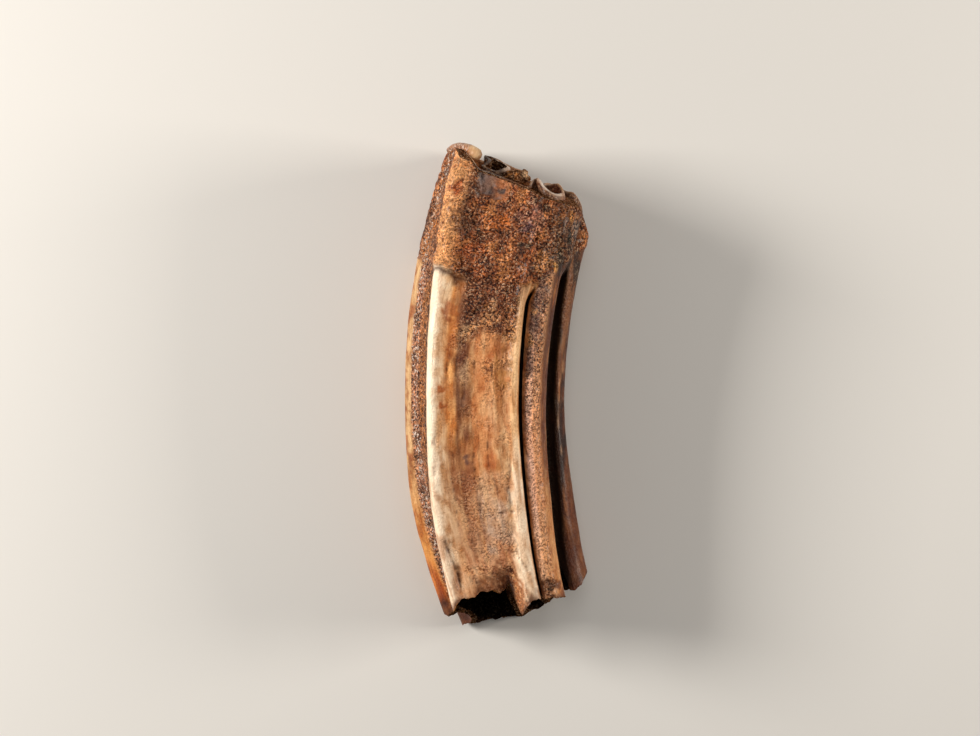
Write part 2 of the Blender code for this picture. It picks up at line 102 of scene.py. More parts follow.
LANDMARKS = [
    ("mesostyle", -0.498, 0.508, -0.020, -0.009),
    ("mesostyle_top", -0.472, 0.575, -0.022, 0.004),
    ("flute_start", -0.442, 0.618, -0.028, 0.025),
    ("flute", -0.396, 0.705, -0.035, 0.010),
    ("flute_end", -0.372, 0.805, -0.042, -0.030),
    ("metastyle_edge", -0.354, 0.915, -0.049, -0.055),
    ("metastyle", -0.330, 0.985, -0.043, -0.058),
    ("metastyle_foot", -0.290, 0.990, -0.037, -0.049),
    ("distal_cheek", -0.190, 0.960, -0.020, -0.045),
    ("distal", -0.045, 0.945, 0.000, -0.050),
    ("distal_tongue", 0.085, 0.962, 0.010, -0.075),
    ("ridge_foot", 0.148, 0.984, 0.012, -0.092),
    ("ridge", 0.185, 0.996, 0.006, -0.086),
    ("ridge_edge", 0.210, 0.965, -0.012, -0.062),
    ("groove_wall", 0.2125, 0.875, -0.012, -0.062),
    ("groove", 0.2235, 0.800, -0.013, -0.065),
    ("groove_far_wall", 0.234, 0.870, -0.013, -0.067),
    ("hypocone_edge", 0.239, 0.930, -0.012, -0.070),
    ("hypocone", 0.300, 0.955, 0.003, -0.080),
    ("hypocone_side", 0.350, 0.915, 0.018, -0.078),
    ("hypocone_tongue", 0.382, 0.820, 0.025, -0.077),
    ("valley_roof", 0.362, 0.705, 0.020, -0.075),
    ("valley_wall", 0.290, 0.620, 0.010, -0.060),
    ("valley", 0.215, 0.525, 0.000, -0.050),
    ("valley_floor", 0.290, 0.440, 0.000, -0.060),
    ("protocone_lip", 0.392, 0.365, 0.000, -0.085),
    ("protocone_edge", 0.457, 0.405, 0.000, -0.080),
    ("protocone", 0.508, 0.325, 0.018, -0.036),
    ("protocone_side", 0.490, 0.185, 0.020, -0.020),
    ("protocone_mesial", 0.430, 0.065, 0.010, -0.030),
    ("protocone_foot", 0.355, 0.008, 0.000, -0.040),
    ("mesial_groove", 0.280, 0.080, 0.000, -0.045),
    ("protoloph", 0.220, 0.010, 0.000, -0.045),
    ("mesial_tongue", 0.110, -0.008, 0.000, -0.030),
    ("mesial", -0.055, 0.012, 0.000, -0.020),
    ("mesial_cheek", -0.220, -0.006, -0.010, -0.010),
    ("parastyle_foot", -0.365, -0.010, -0.020, 0.000),
    ("parastyle", -0.447, 0.040, -0.025, 0.010),
    ("parastyle_top", -0.440, 0.118, -0.025, 0.010),
    ("mesial_flute_start", -0.395, 0.210, -0.020, 0.015),
    ("mesial_flute", -0.378, 0.310, -0.020, 0.015),
    ("mesial_flute_end", -0.412, 0.400, -0.022, 0.012),
    ("mesostyle_foot", -0.470, 0.450, -0.025, -0.010),
]
COUNT = len(LANDMARKS)
INDEX = {row[0]: number for number, row in enumerate(LANDMARKS)}
ACROSS, UP, AT_CROWN, AT_ROOT = np.array([row[1:] for row in LANDMARKS]).T
print(COUNT, "landmarks round a section of", WIDTH, "by", DEPTH, "mm")

# %% [markdown]
# Near the chewing end cement fills the grooves and lies over the ribs as a rough crust.
# The filled places of the landmarks and the crust's lower edge are kept apart from the column,
# so that the crust can end in a ragged ledge and the bare column can show below it.

# %% Cement that fills the grooves, and the crust over it
FILLED = {
    "ridge_edge": (0.222, 0.977),
    "groove_wall": (0.236, 0.969),
    "groove": (0.249, 0.963),
    "groove_far_wall": (0.262, 0.958),
    "hypocone_edge": (0.275, 0.954),
    "valley_roof": (0.412, 0.740),
    "valley_wall": (0.415, 0.665),
    "valley": (0.392, 0.595),
    "valley_floor": (0.420, 0.540),
    "protocone_lip": (0.455, 0.500),
}
FILL_FADE = 3.5
CRUST_EDGE = [
    ("mesostyle", 20.5, 0.08), ("flute", 19.3, 0.30), ("metastyle", 19.6, 0.35),
    ("distal_cheek", 17.4, 0.40), ("distal", 17.0, 0.35), ("ridge", 16.2, 0.35),
    ("hypocone", 17.2, 0.45), ("hypocone_tongue", 20.0, 0.45), ("valley", 20.8, 0.20),
    ("protocone", 22.0, 0.03), ("mesial_groove", 19.0, 0.40), ("mesial", 17.4, 0.45),
    ("parastyle", 19.6, 0.35),
]
CRUST_LUMP, CRUST_LUMP_SIZE, CRUST_STEP = 1.3, 3.0, 1.1

FILLED_ACROSS, FILLED_UP = ACROSS.copy(), UP.copy()
for name, (across, up) in FILLED.items():
    FILLED_ACROSS[INDEX[name]] = across
    FILLED_UP[INDEX[name]] = up


def smooth(low, high, value):
    """0 at low, 1 at high, and an even slope between them."""
    share = np.clip((value - low) / (high - low), 0.0, 1.0)
    return share * share * (3.0 - 2.0 * share)


def round_section(column, places):
    """One column of the crust's rows at places round the section, counted in landmarks."""
    stops = [INDEX[row[0]] for row in CRUST_EDGE] + [COUNT]
    values = [row[column] for row in CRUST_EDGE] + [CRUST_EDGE[0][column]]
    return np.interp(np.mod(places, COUNT), stops, values)


EDGE_AT_LANDMARK = round_section(1, np.arange(COUNT))
print("the crust ends", EDGE_AT_LANDMARK.min(), "to", EDGE_AT_LANDMARK.max(), "mm up the tooth")

# %% [markdown]
# A section at any height is a smooth closed curve through the landmarks.
# Working on whole rows of heights and places at once keeps a skin of almost 90,000 points quick to make.

# %% Sections at any height
def bend(y):
    """How far the arc of the tooth has carried a section towards the tongue."""
    return BEND_RADIUS - np.sqrt(BEND_RADIUS ** 2 - (y - BEND_Y) ** 2)


def drift(y):
    """Weights of the crown's and the root's drift, a parabola through three heights."""
    crown = (y - ROOT_Y) * (y - MIDDLE_Y) / ((CROWN_Y - ROOT_Y) * (CROWN_Y - MIDDLE_Y))
    root = (y - MIDDLE_Y) * (y - CROWN_Y) / ((ROOT_Y - MIDDLE_Y) * (ROOT_Y - CROWN_Y))
    return crown[:, None], root[:, None]


def landmarks_at(heights):
    """Where every landmark lies, across and up, in one row for each height."""
    crown, root = drift(np.minimum(heights, DRIFT_END))
    filled = smooth(EDGE_AT_LANDMARK - FILL_FADE, EDGE_AT_LANDMARK, heights[:, None])
    across = ACROSS + (FILLED_ACROSS - ACROSS) * filled + AT_CROWN * crown + AT_ROOT * root
    up = UP + (FILLED_UP - UP) * filled
    across = across * (1.0 + BELLY * np.exp(-((heights[:, None] - BELLY_Y) / BELLY_TALL) ** 2))
    up = up * (1.0 + CROWN_SWELL * crown - ROOT_TAPER * root)
    return across * WIDTH, up * DEPTH


def through(rows, places):
    """A smooth curve through each row of landmarks, read at these places."""
    first = np.floor(places).astype(int)
    t = places - first
    p, q, r, s = (rows[:, (first + step) % COUNT] for step in (-1, 0, 1, 2))
    return 0.5 * (2 * q + (r - p) * t + (2 * p - 5 * q + 4 * r - s) * t ** 2
                  + (3 * q - p - 3 * r + s) * t ** 3)


def section(places, heights):
    """Points of the sections, across and up: one row for each height, a column for each place."""
    across, up = landmarks_at(heights)
    return through(across, places), through(up, places)


def outward(places, heights, step):
    """Outward direction of the sections at the same points."""
    x0, z0 = section(places - step, heights)
    x1, z1 = section(places + step, heights)
    long = np.hypot(x1 - x0, z1 - z0)
    return np.stack([(z0 - z1) / long, (x1 - x0) / long])


half_way = section(np.linspace(0.0, COUNT, 1000), np.array([MIDDLE_Y]))
girth = np.hypot(np.diff(half_way[0][0]), np.diff(half_way[1][0])).sum()
print("the section is", round(girth, 1), "mm round")

# %% [markdown]
# Nature's irregularity comes from repeatable noise, so the tooth is the same on every run.
# The helpers here give lumps of a chosen width, and soft-edged spots, bands and lines that
# later steps use both to carve the skin and to stain it. That way a crack is dark where it is deep.

# %% Noise, spots, bands and lines
def lumps(points, size, seed=0.0):
    """Smooth noise from about -1 to 1 at points in millimetres, with lumps of this width."""
    scale = np.broadcast_to(np.asarray(size, dtype=float), 3)
    moved = (points.reshape(-1, 3) / scale + seed).tolist()
    return np.array([noise.noise(Vector(place)) for place in moved]).reshape(points.shape[:-1])


def band(places, start, end, soft=0.25):
    """1 between two places round the section, 0 outside."""
    return smooth(start - soft, start + soft, places) * smooth(end + soft, end - soft, places)


def spot(x, y, at, half):
    """1 in the middle of a soft spot, 0 well outside it."""
    return np.exp(-((x - at[0]) / half[0]) ** 2 - ((y - at[1]) / half[1]) ** 2)


def from_line(x, y, line):
    """Distance of each point from a broken line."""
    nearest = np.full(x.shape, np.inf)
    for (x0, y0), (x1, y1) in zip(line, line[1:]):
        long = (x1 - x0) ** 2 + (y1 - y0) ** 2
        share = np.clip(((x - x0) * (x1 - x0) + (y - y0) * (y1 - y0)) / long, 0.0, 1.0)
        beside = np.hypot(x - x0 - share * (x1 - x0), y - y0 - share * (y1 - y0))
        nearest = np.minimum(nearest, beside)
    return nearest


def reach_inside(outline, x, z):
    """How far inside a closed outline each point lies, below zero outside it."""
    hit = np.zeros(x.shape, dtype=bool)
    for (x0, z0), (x1, z1) in zip(outline, outline[1:] + outline[:1]):
        if z0 != z1:
            crosses = (z0 > z) != (z1 > z)
            hit ^= crosses & (x < x0 + (x1 - x0) * (z - z0) / (z1 - z0))
    return np.where(hit, 1.0, -1.0) * from_line(x, z, outline + outline[:1])


print("noise at one point:", round(noise.noise(Vector((0.3, 0.4, 0.5))), 4))

# %% [markdown]
# The distal face shows a rubbed facet near the chewing end, cracks, notches and chips.
# Each is a short named line or spot in millimetres over the middle of the tooth, so that a
# crack can be moved or deepened on its own.

# %% Marks on the distal face
FACET = [(-1.0, 40.0), (-1.0, 31.4), (3.4, 31.2), (6.2, 33.8), (7.2, 40.0)]
FACET_SOFT = 0.3
FACET_RAGGED, FACET_RAGGED_SIZE, FACET_RAGGED_BELOW = 1.3, 1.3, (34.5, 32.0)
FACET_FROM_UP = 0.8

# Name, points across and up the tooth, depth and width.
CRACKS = [
    ("long_crack", [(4.1, -10.6), (4.4, -14.0), (4.0, -17.5), (4.5, -19.6), (4.2, -22.0)], 0.13, 0.24),
    ("middle_crack", [(0.5, -9.0), (0.9, -13.6), (2.1, -17.0), (2.3, -20.6)], 0.12, 0.22),
    ("dark_seam", [(-1.6, -10.4), (-1.9, -13.0), (-0.9, -15.6), (-0.3, -18.0), (-0.6, -20.6)], 0.14, 0.24),
    ("cheek_crack", [(-5.3, -11.5), (-5.1, -18.0), (-4.2, -24.0)], 0.10, 0.22),
    ("root_crack", [(-6.6, -26.0), (-5.4, -29.4), (-4.4, -31.6), (-3.8, -33.6)], 0.16, 0.24),
    ("slant_crack", [(-2.6, -30.8), (-1.0, -33.4), (-0.8, -35.0)], 0.12, 0.20),
    ("notch_across", [(2.8, -21.3), (4.0, -21.2), (5.6, -20.9)], 0.20, 0.24),
    ("ridge_crack", [(6.6, -29.6), (7.6, -31.6), (8.9, -34.6)], 0.12, 0.22),
    ("lip_crack", [(8.8, -32.4), (9.7, -33.3), (10.6, -32.8), (11.6, -33.6), (12.9, -33.0)], 0.40, 0.30),
    ("spur_crack", [(4.6, -30.6), (5.6, -33.0), (6.9, -35.2), (7.4, -36.4)], 0.16, 0.22),
    ("thin_split", [(-6.2, 3.6), (-6.3, 1.2)], 0.22, 0.24),
    ("thin_split_low", [(-1.7, 4.0), (-1.7, 1.6)], 0.20, 0.22),
    ("dark_split", [(1.4, 4.0), (1.3, 1.6)], 0.20, 0.22),
    ("ash_split", [(-4.7, 4.0), (-4.6, -1.6)], 0.16, 0.20),
    ("ash_split_low", [(-3.4, 2.0), (-3.5, -3.4)], 0.16, 0.20),
]

# The same for broad furrows, which are not stained.
FURROWS = [
    ("crest_furrow", [(-6.2, 15.0), (-6.6, 0.0), (-6.1, -12.0), (-4.7, -23.0), (-4.0, -30.0)], 0.16, 1.20),
    ("crest_hollow", [(-5.7, -27.0), (-4.3, -31.0), (-3.6, -34.0)], 0.60, 0.95),
    ("face_furrow", [(-3.6, 12.0), (-3.9, 0.0), (-3.4, -12.0), (-2.2, -22.0)], 0.16, 0.70),
    ("ridge_furrow", [(4.2, 12.0), (3.4, 0.0), (3.7, -10.0), (4.4, -22.0), (5.2, -28.0)], 0.40, 1.10),
    ("peach_furrow", [(0.9, 8.0), (0.8, -2.0), (1.2, -12.0)], 0.10, 0.45),
]

# Name, middle, half sizes and depth, which is below zero for a lump.
CHIPS = [
    ("crest_chip", (-8.2, -9.2), (0.5, 1.1), 0.35),
    ("crest_pit", (-8.4, -14.9), (0.35, 0.9), 0.40),
    ("ridge_dent", (4.6, -24.6), (0.9, 1.6), 0.25),
    ("belly", (0.6, -27.0), (3.0, 5.5), 0.30),
    ("dark_hollow", (10.4, 29.4), (1.1, 0.8), 0.35),
    ("crust_dip", (6.8, 25.2), (2.2, 1.2), 0.45),
    ("shoulder_dip", (12.4, 22.0), (0.7, 2.6), 0.45),
    ("crust_lump", (9.8, 20.8), (1.5, 1.8), -0.75),
    ("crest_lump", (-5.8, 19.4), (1.5, 2.0), -0.35),
    ("root_dent", (-4.3, -31.2), (0.5, 1.9), 0.25),
    ("cream_bulge", (-2.6, -32.6), (1.0, 1.8), -0.30),
]


def facet(x, y, z):
    """1 on the facet that the next tooth rubbed smooth, 0 off it. Its lower edge is ragged."""
    frayed = FACET_RAGGED * lumps(np.stack([x, y, z], axis=-1), FACET_RAGGED_SIZE, 61.0)
    reach = reach_inside(FACET, x, y) + frayed * smooth(*FACET_RAGGED_BELOW, y)
    return smooth(0.0, FACET_SOFT, reach) * (z > FACET_FROM_UP * DEPTH)


def cut_along(lines, x, y, z):
    """Depth that these cracks or furrows have at each point."""
    depth = np.zeros(x.shape)
    for name, line, deep, wide in lines:
        depth = np.maximum(depth, deep * np.exp(-(from_line(x, y, line) / wide) ** 2))
    return depth * (z > FACET_FROM_UP * DEPTH)


print(len(CRACKS), "cracks,", len(FURROWS), "furrows and", len(CHIPS), "chips")

# %% [markdown]
# Some of the column is smooth enamel and some is coated with pitted, granular cement.
# Grit says how granular each point is, from 0 to 1. It steers the carving here and the
# roughness and the speckles of the material later, so shape and finish agree.

# %% Where the surface is granular
FLUTE = (1.5, 4.75)             # places round the section, counted in landmarks
METASTYLE = (5.05, 7.45)
DISTAL_PATCH = (8.2, 11.2)
RIDGE = (11.4, 12.9)
GROOVE = (12.9, 17.0)
HYPOCONE_PITTED = (17.2, 18.9)
HYPOCONE_SMOOTH = (18.9, 20.6)
VALLEY = (20.9, 25.2)
PROTOCONE = (25.2, 30.5)
MESIAL = (30.5, 37.0)
MESOSTYLE = (40.5, 44.5)        # runs on past the last landmark
DISTAL_FACE, FACE_GRIT = (7.6, 11.6), 0.35
BELLY_PATCH, BELLY_GRIT = (8.3, 10.6), 0.24
LOBE_GRIT, LOBE_GRIT_LOST = 0.9, 0.4        # near the crown, and how much of it is lost below
MESIAL_GRIT, VALLEY_GRIT = 0.5, 0.12


def grit_of(places, y, crust, wander):
    """How granular the surface is. wander is noise that frays the edges of the patches."""
    flute = band(places, *FLUTE)
    patch = band(places, *DISTAL_PATCH) * smooth(2.0, 13.0, y + 6.0 * wander)
    face = FACE_GRIT * band(places, *DISTAL_FACE) * smooth(-0.3, 0.3, wander)
    belly = BELLY_GRIT * band(places, *BELLY_PATCH, 0.6) * smooth(-12.0, -20.0, y + 5.0 * wander)
    lobe = band(places, *HYPOCONE_PITTED) * (LOBE_GRIT - LOBE_GRIT_LOST * smooth(2.0, -16.0, y))
    under = MESIAL_GRIT * band(places, *MESIAL) * smooth(0.0, 0.3, wander)
    valley = VALLEY_GRIT * band(places, *VALLEY)
    bare = 1.0
    for part in (flute, patch, face, belly, lobe, under + valley):
        bare = bare * (1.0 - part)
    return np.maximum(1.0 - bare, crust)


print("grit of the crest and the flute:", grit_of(np.array([6.0, 3.0]), 0.0, 0.0, 0.0).round(2))

# %% [markdown]
# The skin starts as one flat sheet of cells that is rolled round the tooth, and its two
# long edges are merged. A sheet keeps its cells in rows, so each point knows its place round the
# section and its height. The cells are closer together on the side that is turned up.

# %% Cells of the skin
AROUND = 300                # cells round the tooth
ALONG = 288                 # cells along it
SKIN_START, SKIN_END = -44.6, 42.6
HIDDEN_FROM = 26.5          # from this place on the skin is turned down
HIDDEN_SHARE = 0.62         # and has this share of the cells
FINE_STEPS = 40             # steps between two landmarks in which the section is measured


def spread_places():
    """Places round the section, evenly spaced but closer on the upper side."""
    fine = np.linspace(0.0, COUNT, FINE_STEPS * COUNT + 1)
    x, z = section(fine, np.array([MIDDLE_Y]))
    step = np.hypot(np.diff(x[0]), np.diff(z[0]))
    step *= np.where(fine[1:] > HIDDEN_FROM, HIDDEN_SHARE, 1.0)
    walked = np.concatenate([[0.0], np.cumsum(step)])
    return np.interp(np.linspace(0.0, walked[-1], AROUND + 1), walked, fine)


print("a cell is about", round(girth / AROUND, 2), "by", round((SKIN_END - SKIN_START) / ALONG, 2), "mm")

# %% [markdown]
# Cement is granular and pitted, enamel has long ripples, and time left cracks, furrows and chips.
# Each moves the points in or out by fractions of a millimetre. They could be left to a bump
# texture, but then the outline would stay smooth and the mesh itself would lose them.
# Near the root the column splits in two, and the furcation is the notch that begins there.

# %% Carve the skin
GRAINS = [(0.26, 1.5, 7.0), (0.18, 0.7, 3.0)]       # height, width and seed of the cement's grains
PIT_DEEP, PIT_WIDE, PIT_FROM = 0.28, 0.95, (0.22, 0.55)
RIPPLE, RIPPLE_SIZES = 0.07, [((0.9, 14.0, 0.9), 17.0), (3.4, 23.0)]
EDGE_RAGGED, EDGE_RAGGED_SIZE = 1.3, 2.2
EDGE_WANDER, EDGE_WANDER_SIZE = 4.5, 6.5
SEEN = (2.0, 22.0)          # places between which the crust's edge is as in the photograph
FURCATION_AT, FURCATION_DEEP, FURCATION_WIDE, FURCATION_TALL = (4.2, -36.5), 3.6, 1.5, 7.0


def carving(places, points, grit):
    """How far the skin stands proud of its smooth shape, in millimetres."""
    x, y, z = points[..., 0] + bend(points[..., 1]), points[..., 1], points[..., 2]
    grains = sum(tall * lumps(points, wide, seed) for tall, wide, seed in GRAINS)
    pits = PIT_DEEP * smooth(*PIT_FROM, lumps(points, PIT_WIDE, 31.0))
    ripple = RIPPLE * sum(lumps(points, size, seed) for size, seed in RIPPLE_SIZES)
    height = grit * (grains - pits) + (1.0 - grit) * ripple
    height -= cut_along(CRACKS, x, y, z) + cut_along(FURROWS, x, y, z)
    for name, at, half, deep in CHIPS:
        height -= deep * spot(x, y, at, half) * (z > FACET_FROM_UP * DEPTH)
    return height * (1.0 - band(places, *GROOVE, 0.3))


def over_crust_edge(places, points):
    """Height over the crust's ragged lower edge, which wanders more on the hidden sides."""
    y = points[..., 1]
    ragged = EDGE_RAGGED * lumps(points, EDGE_RAGGED_SIZE, 11.0)
    wander = EDGE_WANDER * (1.0 - band(places, *SEEN, 1.0)) * lumps(points, EDGE_WANDER_SIZE, 12.0)
    return y - round_section(1, places) + ragged + wander


def furcation(x, y):
    """How far the notch between two roots cuts in."""
    centre, full = FURCATION_AT
    beside = np.exp(-((x - centre) / FURCATION_WIDE) ** 2)
    return FURCATION_DEEP * beside * smooth(full + FURCATION_TALL, full, y)


print("the notch between the roots is", FURCATION_DEEP, "mm deep")

# %% [markdown]
# Each point now gets its height over the floor and its distance from the middle plane. It is
# pushed out by the crust and the carving, and carried sideways by the bend. What would sink below
# the floor is held up, which gives the tooth the flat contact that it rests on.

# %% Points of the skin
END_FADE = 1.0              # length over which the relief dies out at both ends
FURCATION_BELOW = 0.4       # share of the notch's depth on the underside
UNDERSIDE_RELIEF, UNDERSIDE_SIZE, UNDERSIDE_FROM = 0.12, 2.1, (-0.2, 0.5)
GRIT_SIZE, GRIT_SEED = 3.0, 41.0


def skin_points():
    """The skin's points and their places round the section."""
    places = spread_places()
    heights = np.linspace(SKIN_START, SKIN_END, ALONG + 1)
    x, z = section(places, heights)
    y = np.repeat(heights[:, None], AROUND + 1, axis=1)
    points = np.stack([x, y, z], axis=-1)
    rubbed = facet(x + bend(y), y, z)
    crust = smooth(0.0, CRUST_STEP, over_crust_edge(places, points)) * (1.0 - rubbed)
    grit = grit_of(places, y, crust, lumps(points, GRIT_SIZE, GRIT_SEED)) * (1.0 - rubbed)
    thick = crust * round_section(2, places) * (1.0 + CRUST_LUMP * lumps(points, CRUST_LUMP_SIZE))
    ends = smooth(SKIN_START, SKIN_START + END_FADE, y) * smooth(SKIN_END, SKIN_END - END_FADE, y)
    proud = (thick + carving(places, points, grit)) * ends
    bridged = smooth(-FILL_FADE, 0.0, y - round_section(1, places))
    close, wide = (outward(places, heights, step) for step in (OUTWARD_STEP, OUTWARD_STEP_CRUST))
    out_x, out_z = close + (wide - close) * bridged
    x = x + out_x * proud + bend(y)
    z = z + out_z * proud
    notch = furcation(x, y)
    z = np.where(z > DEPTH / 2, z - notch, z + FURCATION_BELOW * notch)
    lowest = UNDERSIDE_RELIEF * smooth(*UNDERSIDE_FROM, lumps(points, UNDERSIDE_SIZE, 5.0))
    z = np.maximum(z, lowest)
    points = np.stack([x, y, z], axis=-1)
    points[:, -1] = points[:, 0]
    return points, places


skin, skin_places = skin_points()
print("the skin has", skin.shape[0] * skin.shape[1], "points")

# %% [markdown]
# Rolling the sheet is one create_grid, whose points are then moved to the places worked out above.
# Merging the two long edges makes it a tube and filling the open ends makes it a solid.
# Only a closed solid can be cut cleanly by the Booleans that follow.

# %% Roll the skin into a closed solid
FINISHES = ["skin", "chewing_surface", "enamel", "lake", "broken", "pulp_hollow"]


def finish_mesh(name, bm, finish):
    """An object with outward faces from a bmesh, with one of the tooth's finishes."""
    bmesh.ops.triangulate(bm, faces=bm.faces)
    bmesh.ops.recalc_face_normals(bm, faces=bm.faces)
    for face in bm.faces:
        face.material_index = FINISHES.index(finish)
    mesh = bpy.data.meshes.new(name)
    bm.to_mesh(mesh)
    bm.free()
    for slot in FINISHES:
        mesh.materials.append(bpy.data.materials.get(slot) or bpy.data.materials.new(slot))
    made = bpy.data.objects.new(name, mesh)
    bpy.context.scene.collection.objects.link(made)
    return made


def sheet(columns, rows, place):
    """A bmesh sheet of cells. place gives a point in millimetres for a column and a row."""
    bm = bmesh.new()
    bmesh.ops.create_grid(bm, x_segments=columns, y_segments=rows, size=0.5)
    for vert in bm.verts:
        column = round((vert.co.x + 0.5) * columns)
        row = round((vert.co.y + 0.5) * rows)
        vert.co = Vector(place(column, row)) * MM
    return bm


bm = sheet(AROUND, ALONG, lambda column, row: skin[row, column])
open_edges = [edge for edge in bm.edges if edge.is_boundary]
seam = list({vert for edge in open_edges for vert in edge.verts})
bmesh.ops.remove_doubles(bm, verts=seam, dist=1e-7)
bmesh.ops.holes_fill(bm, edges=[edge for edge in bm.edges if edge.is_boundary], sides=0)
print("rolled, with", sum(edge.is_boundary for edge in bm.edges), "open edges left")
tooth = finish_mesh("horse_molar", bm, "skin")

# %% [markdown]
# The chewing end is worn to a slope that falls towards the tongue, with a higher cheek corner.
# It could be cut with one plane, but a grinding surface is never flat. Here three straight lines
# across the tooth, each a height and a fall, are joined by a parabola and rounded at both rims.

# %% The worn slope
WEAR_DISTAL, WEAR_MIDDLE, WEAR_MESIAL = (35.4, -0.385), (38.3, -0.440), (37.8, -0.430)
CHEEK_RIM, CHEEK_RIM_FROM, CHEEK_RIM_UP = 1.7, (-0.6, -2.6), (0.5, 1.0)
ROUND_CHEEK, ROUND_TONGUE = (-5.4, 0.45), (15.0, 0.55)


def worn(x, z):
    """Height of the worn chewing surface."""
    distal, middle, mesial = (
        height + fall * x for height, fall in (WEAR_DISTAL, WEAR_MIDDLE, WEAR_MESIAL))
    share = z / DEPTH
    y = (mesial * (1 - share) * (1 - 2 * share) + middle * 4 * share * (1 - share)
         + distal * share * (2 * share - 1))
    y = y + CHEEK_RIM * smooth(*CHEEK_RIM_FROM, x) * smooth(*CHEEK_RIM_UP, share)
    y = y - ROUND_CHEEK[1] * np.minimum(0.0, x - ROUND_CHEEK[0]) ** 2
    return y - ROUND_TONGUE[1] * np.maximum(0.0, x - ROUND_TONGUE[0]) ** 2


heights_of_slope = worn(np.array([-4.0, 12.0]), np.array([22.0, 8.0]))
print("the slope near the cheek and near the tongue:", heights_of_slope.round(1), "mm")

# %% [markdown]
# Seen from above, enamel folds round the tooth like a coastline with bays, and inside it lies
# dentine, which is softer and wore into a dish. The fold is a closed line of points, moved to where
# the bend carries it. Its inside is found point by point, so the dish follows if the fold changes.

# %% The outer fold and the dished dentine
OUTER_FOLD = [
    (-11.9, 1.9), (-10.6, 3.6), (-9.9, 6.2), (-10.2, 9.0), (-12.0, 11.2), (-13.2, 12.8),
    (-12.0, 14.2), (-10.4, 16.0), (-10.2, 19.0), (-10.9, 22.0), (-10.4, 23.5), (-8.5, 23.5),
    (-5.5, 22.9), (-1.5, 22.5), (0.4, 22.9), (1.6, 22.6), (2.0, 20.9), (2.5, 19.6),
    (3.3, 20.4), (3.8, 22.2), (5.4, 23.2), (7.2, 22.6), (8.2, 20.6), (7.8, 18.4),
    (6.0, 16.8), (4.2, 14.8), (3.5, 12.6), (4.2, 10.2), (5.7, 8.8), (7.3, 9.8),
    (8.6, 12.0), (10.4, 12.2), (12.2, 10.2), (13.2, 7.6), (12.8, 5.0), (11.2, 3.0),
    (9.2, 2.3), (7.6, 3.6), (5.6, 2.0), (2.0, 1.5), (-2.0, 1.8), (-6.0, 1.4), (-9.6, 1.1),
]
DENTINE_DEEP, DENTINE_EDGE = 0.45, (0.2, 1.8)
TABLE_ROUGH = [(0.10, 2.2), (0.05, 0.7)]    # height and width of the roughness
CARRY_PASSES = 6            # passes in which the bend settles a fold's place


def rough(x, z, sizes):
    """Sum of several sizes of roughness, each a height and a width."""
    points = np.stack([x, np.zeros_like(x), z], axis=-1)
    return sum(height * lumps(points, size, size) for height, size in sizes)


def on_crown(outline):
    """A fold's outline moved from the section to where the bend carries it at the chewing end."""
    x, z = np.array(outline).T
    carried = x
    for _ in range(CARRY_PASSES):
        carried = x + bend(worn(carried, z))
    return list(zip(carried.tolist(), z.tolist()))


DENTINE = on_crown(OUTER_FOLD)


def chewing_surface(x, z):
    """Height of the worn surface, dished where dentine lies inside the outer fold."""
    dish = DENTINE_DEEP * smooth(*DENTINE_EDGE, reach_inside(DENTINE, x, z))
    return worn(x, z) - dish + rough(x, z, TABLE_ROUGH)


print("the outer fold has", len(OUTER_FOLD), "points")

# %% [markdown]
# The root end is broken. Two jagged lines, one near the floor and one at the top, say how far the
# tooth reaches at each place across, and the break blends from one to the other. Chips of three
# sizes are added, because a fracture looks rough from near and from far.

# %% The break
BREAK_DISTAL = [
    (-8.6, -38.4), (-6.2, -39.2), (-5.2, -38.3), (-4.6, -36.6), (-3.7, -35.7), (-1.5, -35.5),
    (-0.7, -34.7), (1.0, -34.2), (2.7, -34.9), (3.5, -34.2), (4.2, -33.2), (5.0, -35.4),
    (5.8, -37.6), (6.4, -38.6), (7.2, -37.2), (8.0, -36.2), (9.3, -35.6), (11.3, -35.4),
    (12.8, -35.7), (14.2, -35.6), (15.6, -35.2), (16.8, -34.1), (17.7, -32.4), (18.6, -30.0),
]
BREAK_MESIAL = [
    (-8.6, -39.6), (-6.3, -41.2), (-4.4, -42.2), (-3.1, -41.5), (-0.7, -41.2), (2.9, -40.5),
    (4.5, -40.2), (6.6, -40.3), (8.6, -39.0), (10.4, -38.2), (12.8, -36.2), (14.2, -35.7),
    (15.6, -35.2), (16.8, -34.1), (17.7, -32.4), (18.6, -30.0),
]
BREAK_BLEND = (0.15, 0.55)
BREAK_JAGS = [(0.45, 1.7), (0.35, 0.8), (0.18, 0.4)]    # height and width of the chips


def along(points, value):
    """Height of a broken line through points at this value."""
    return np.interp(value, [place for place, _ in points], [height for _, height in points])


def broken(x, z):
    """Height of the broken root end."""
    share = smooth(*BREAK_BLEND, z / DEPTH)
    edge = along(BREAK_MESIAL, x) * (1 - share) + along(BREAK_DISTAL, x) * share
    return edge + rough(x, z, BREAK_JAGS)


print("the break's upper line has", len(BREAK_DISTAL), "points and the lower one", len(BREAK_MESIAL))

# %% [markdown]
# Both ends are cut with a block. Its near side is a fine sheet of cells with the heights worked
# out above and its far side lies past the skin. The border of the sheet is extruded and closed,
# because a Boolean only needs a closed solid and doesn't mind long faces at the back.

# %% Cut the worn and the broken end
END_ACROSS, END_UP = (-19.0, 27.0), (-4.0, 30.0)
END_PAST = 1.0
TABLE_CELL, BREAK_CELL = 0.29, 0.38


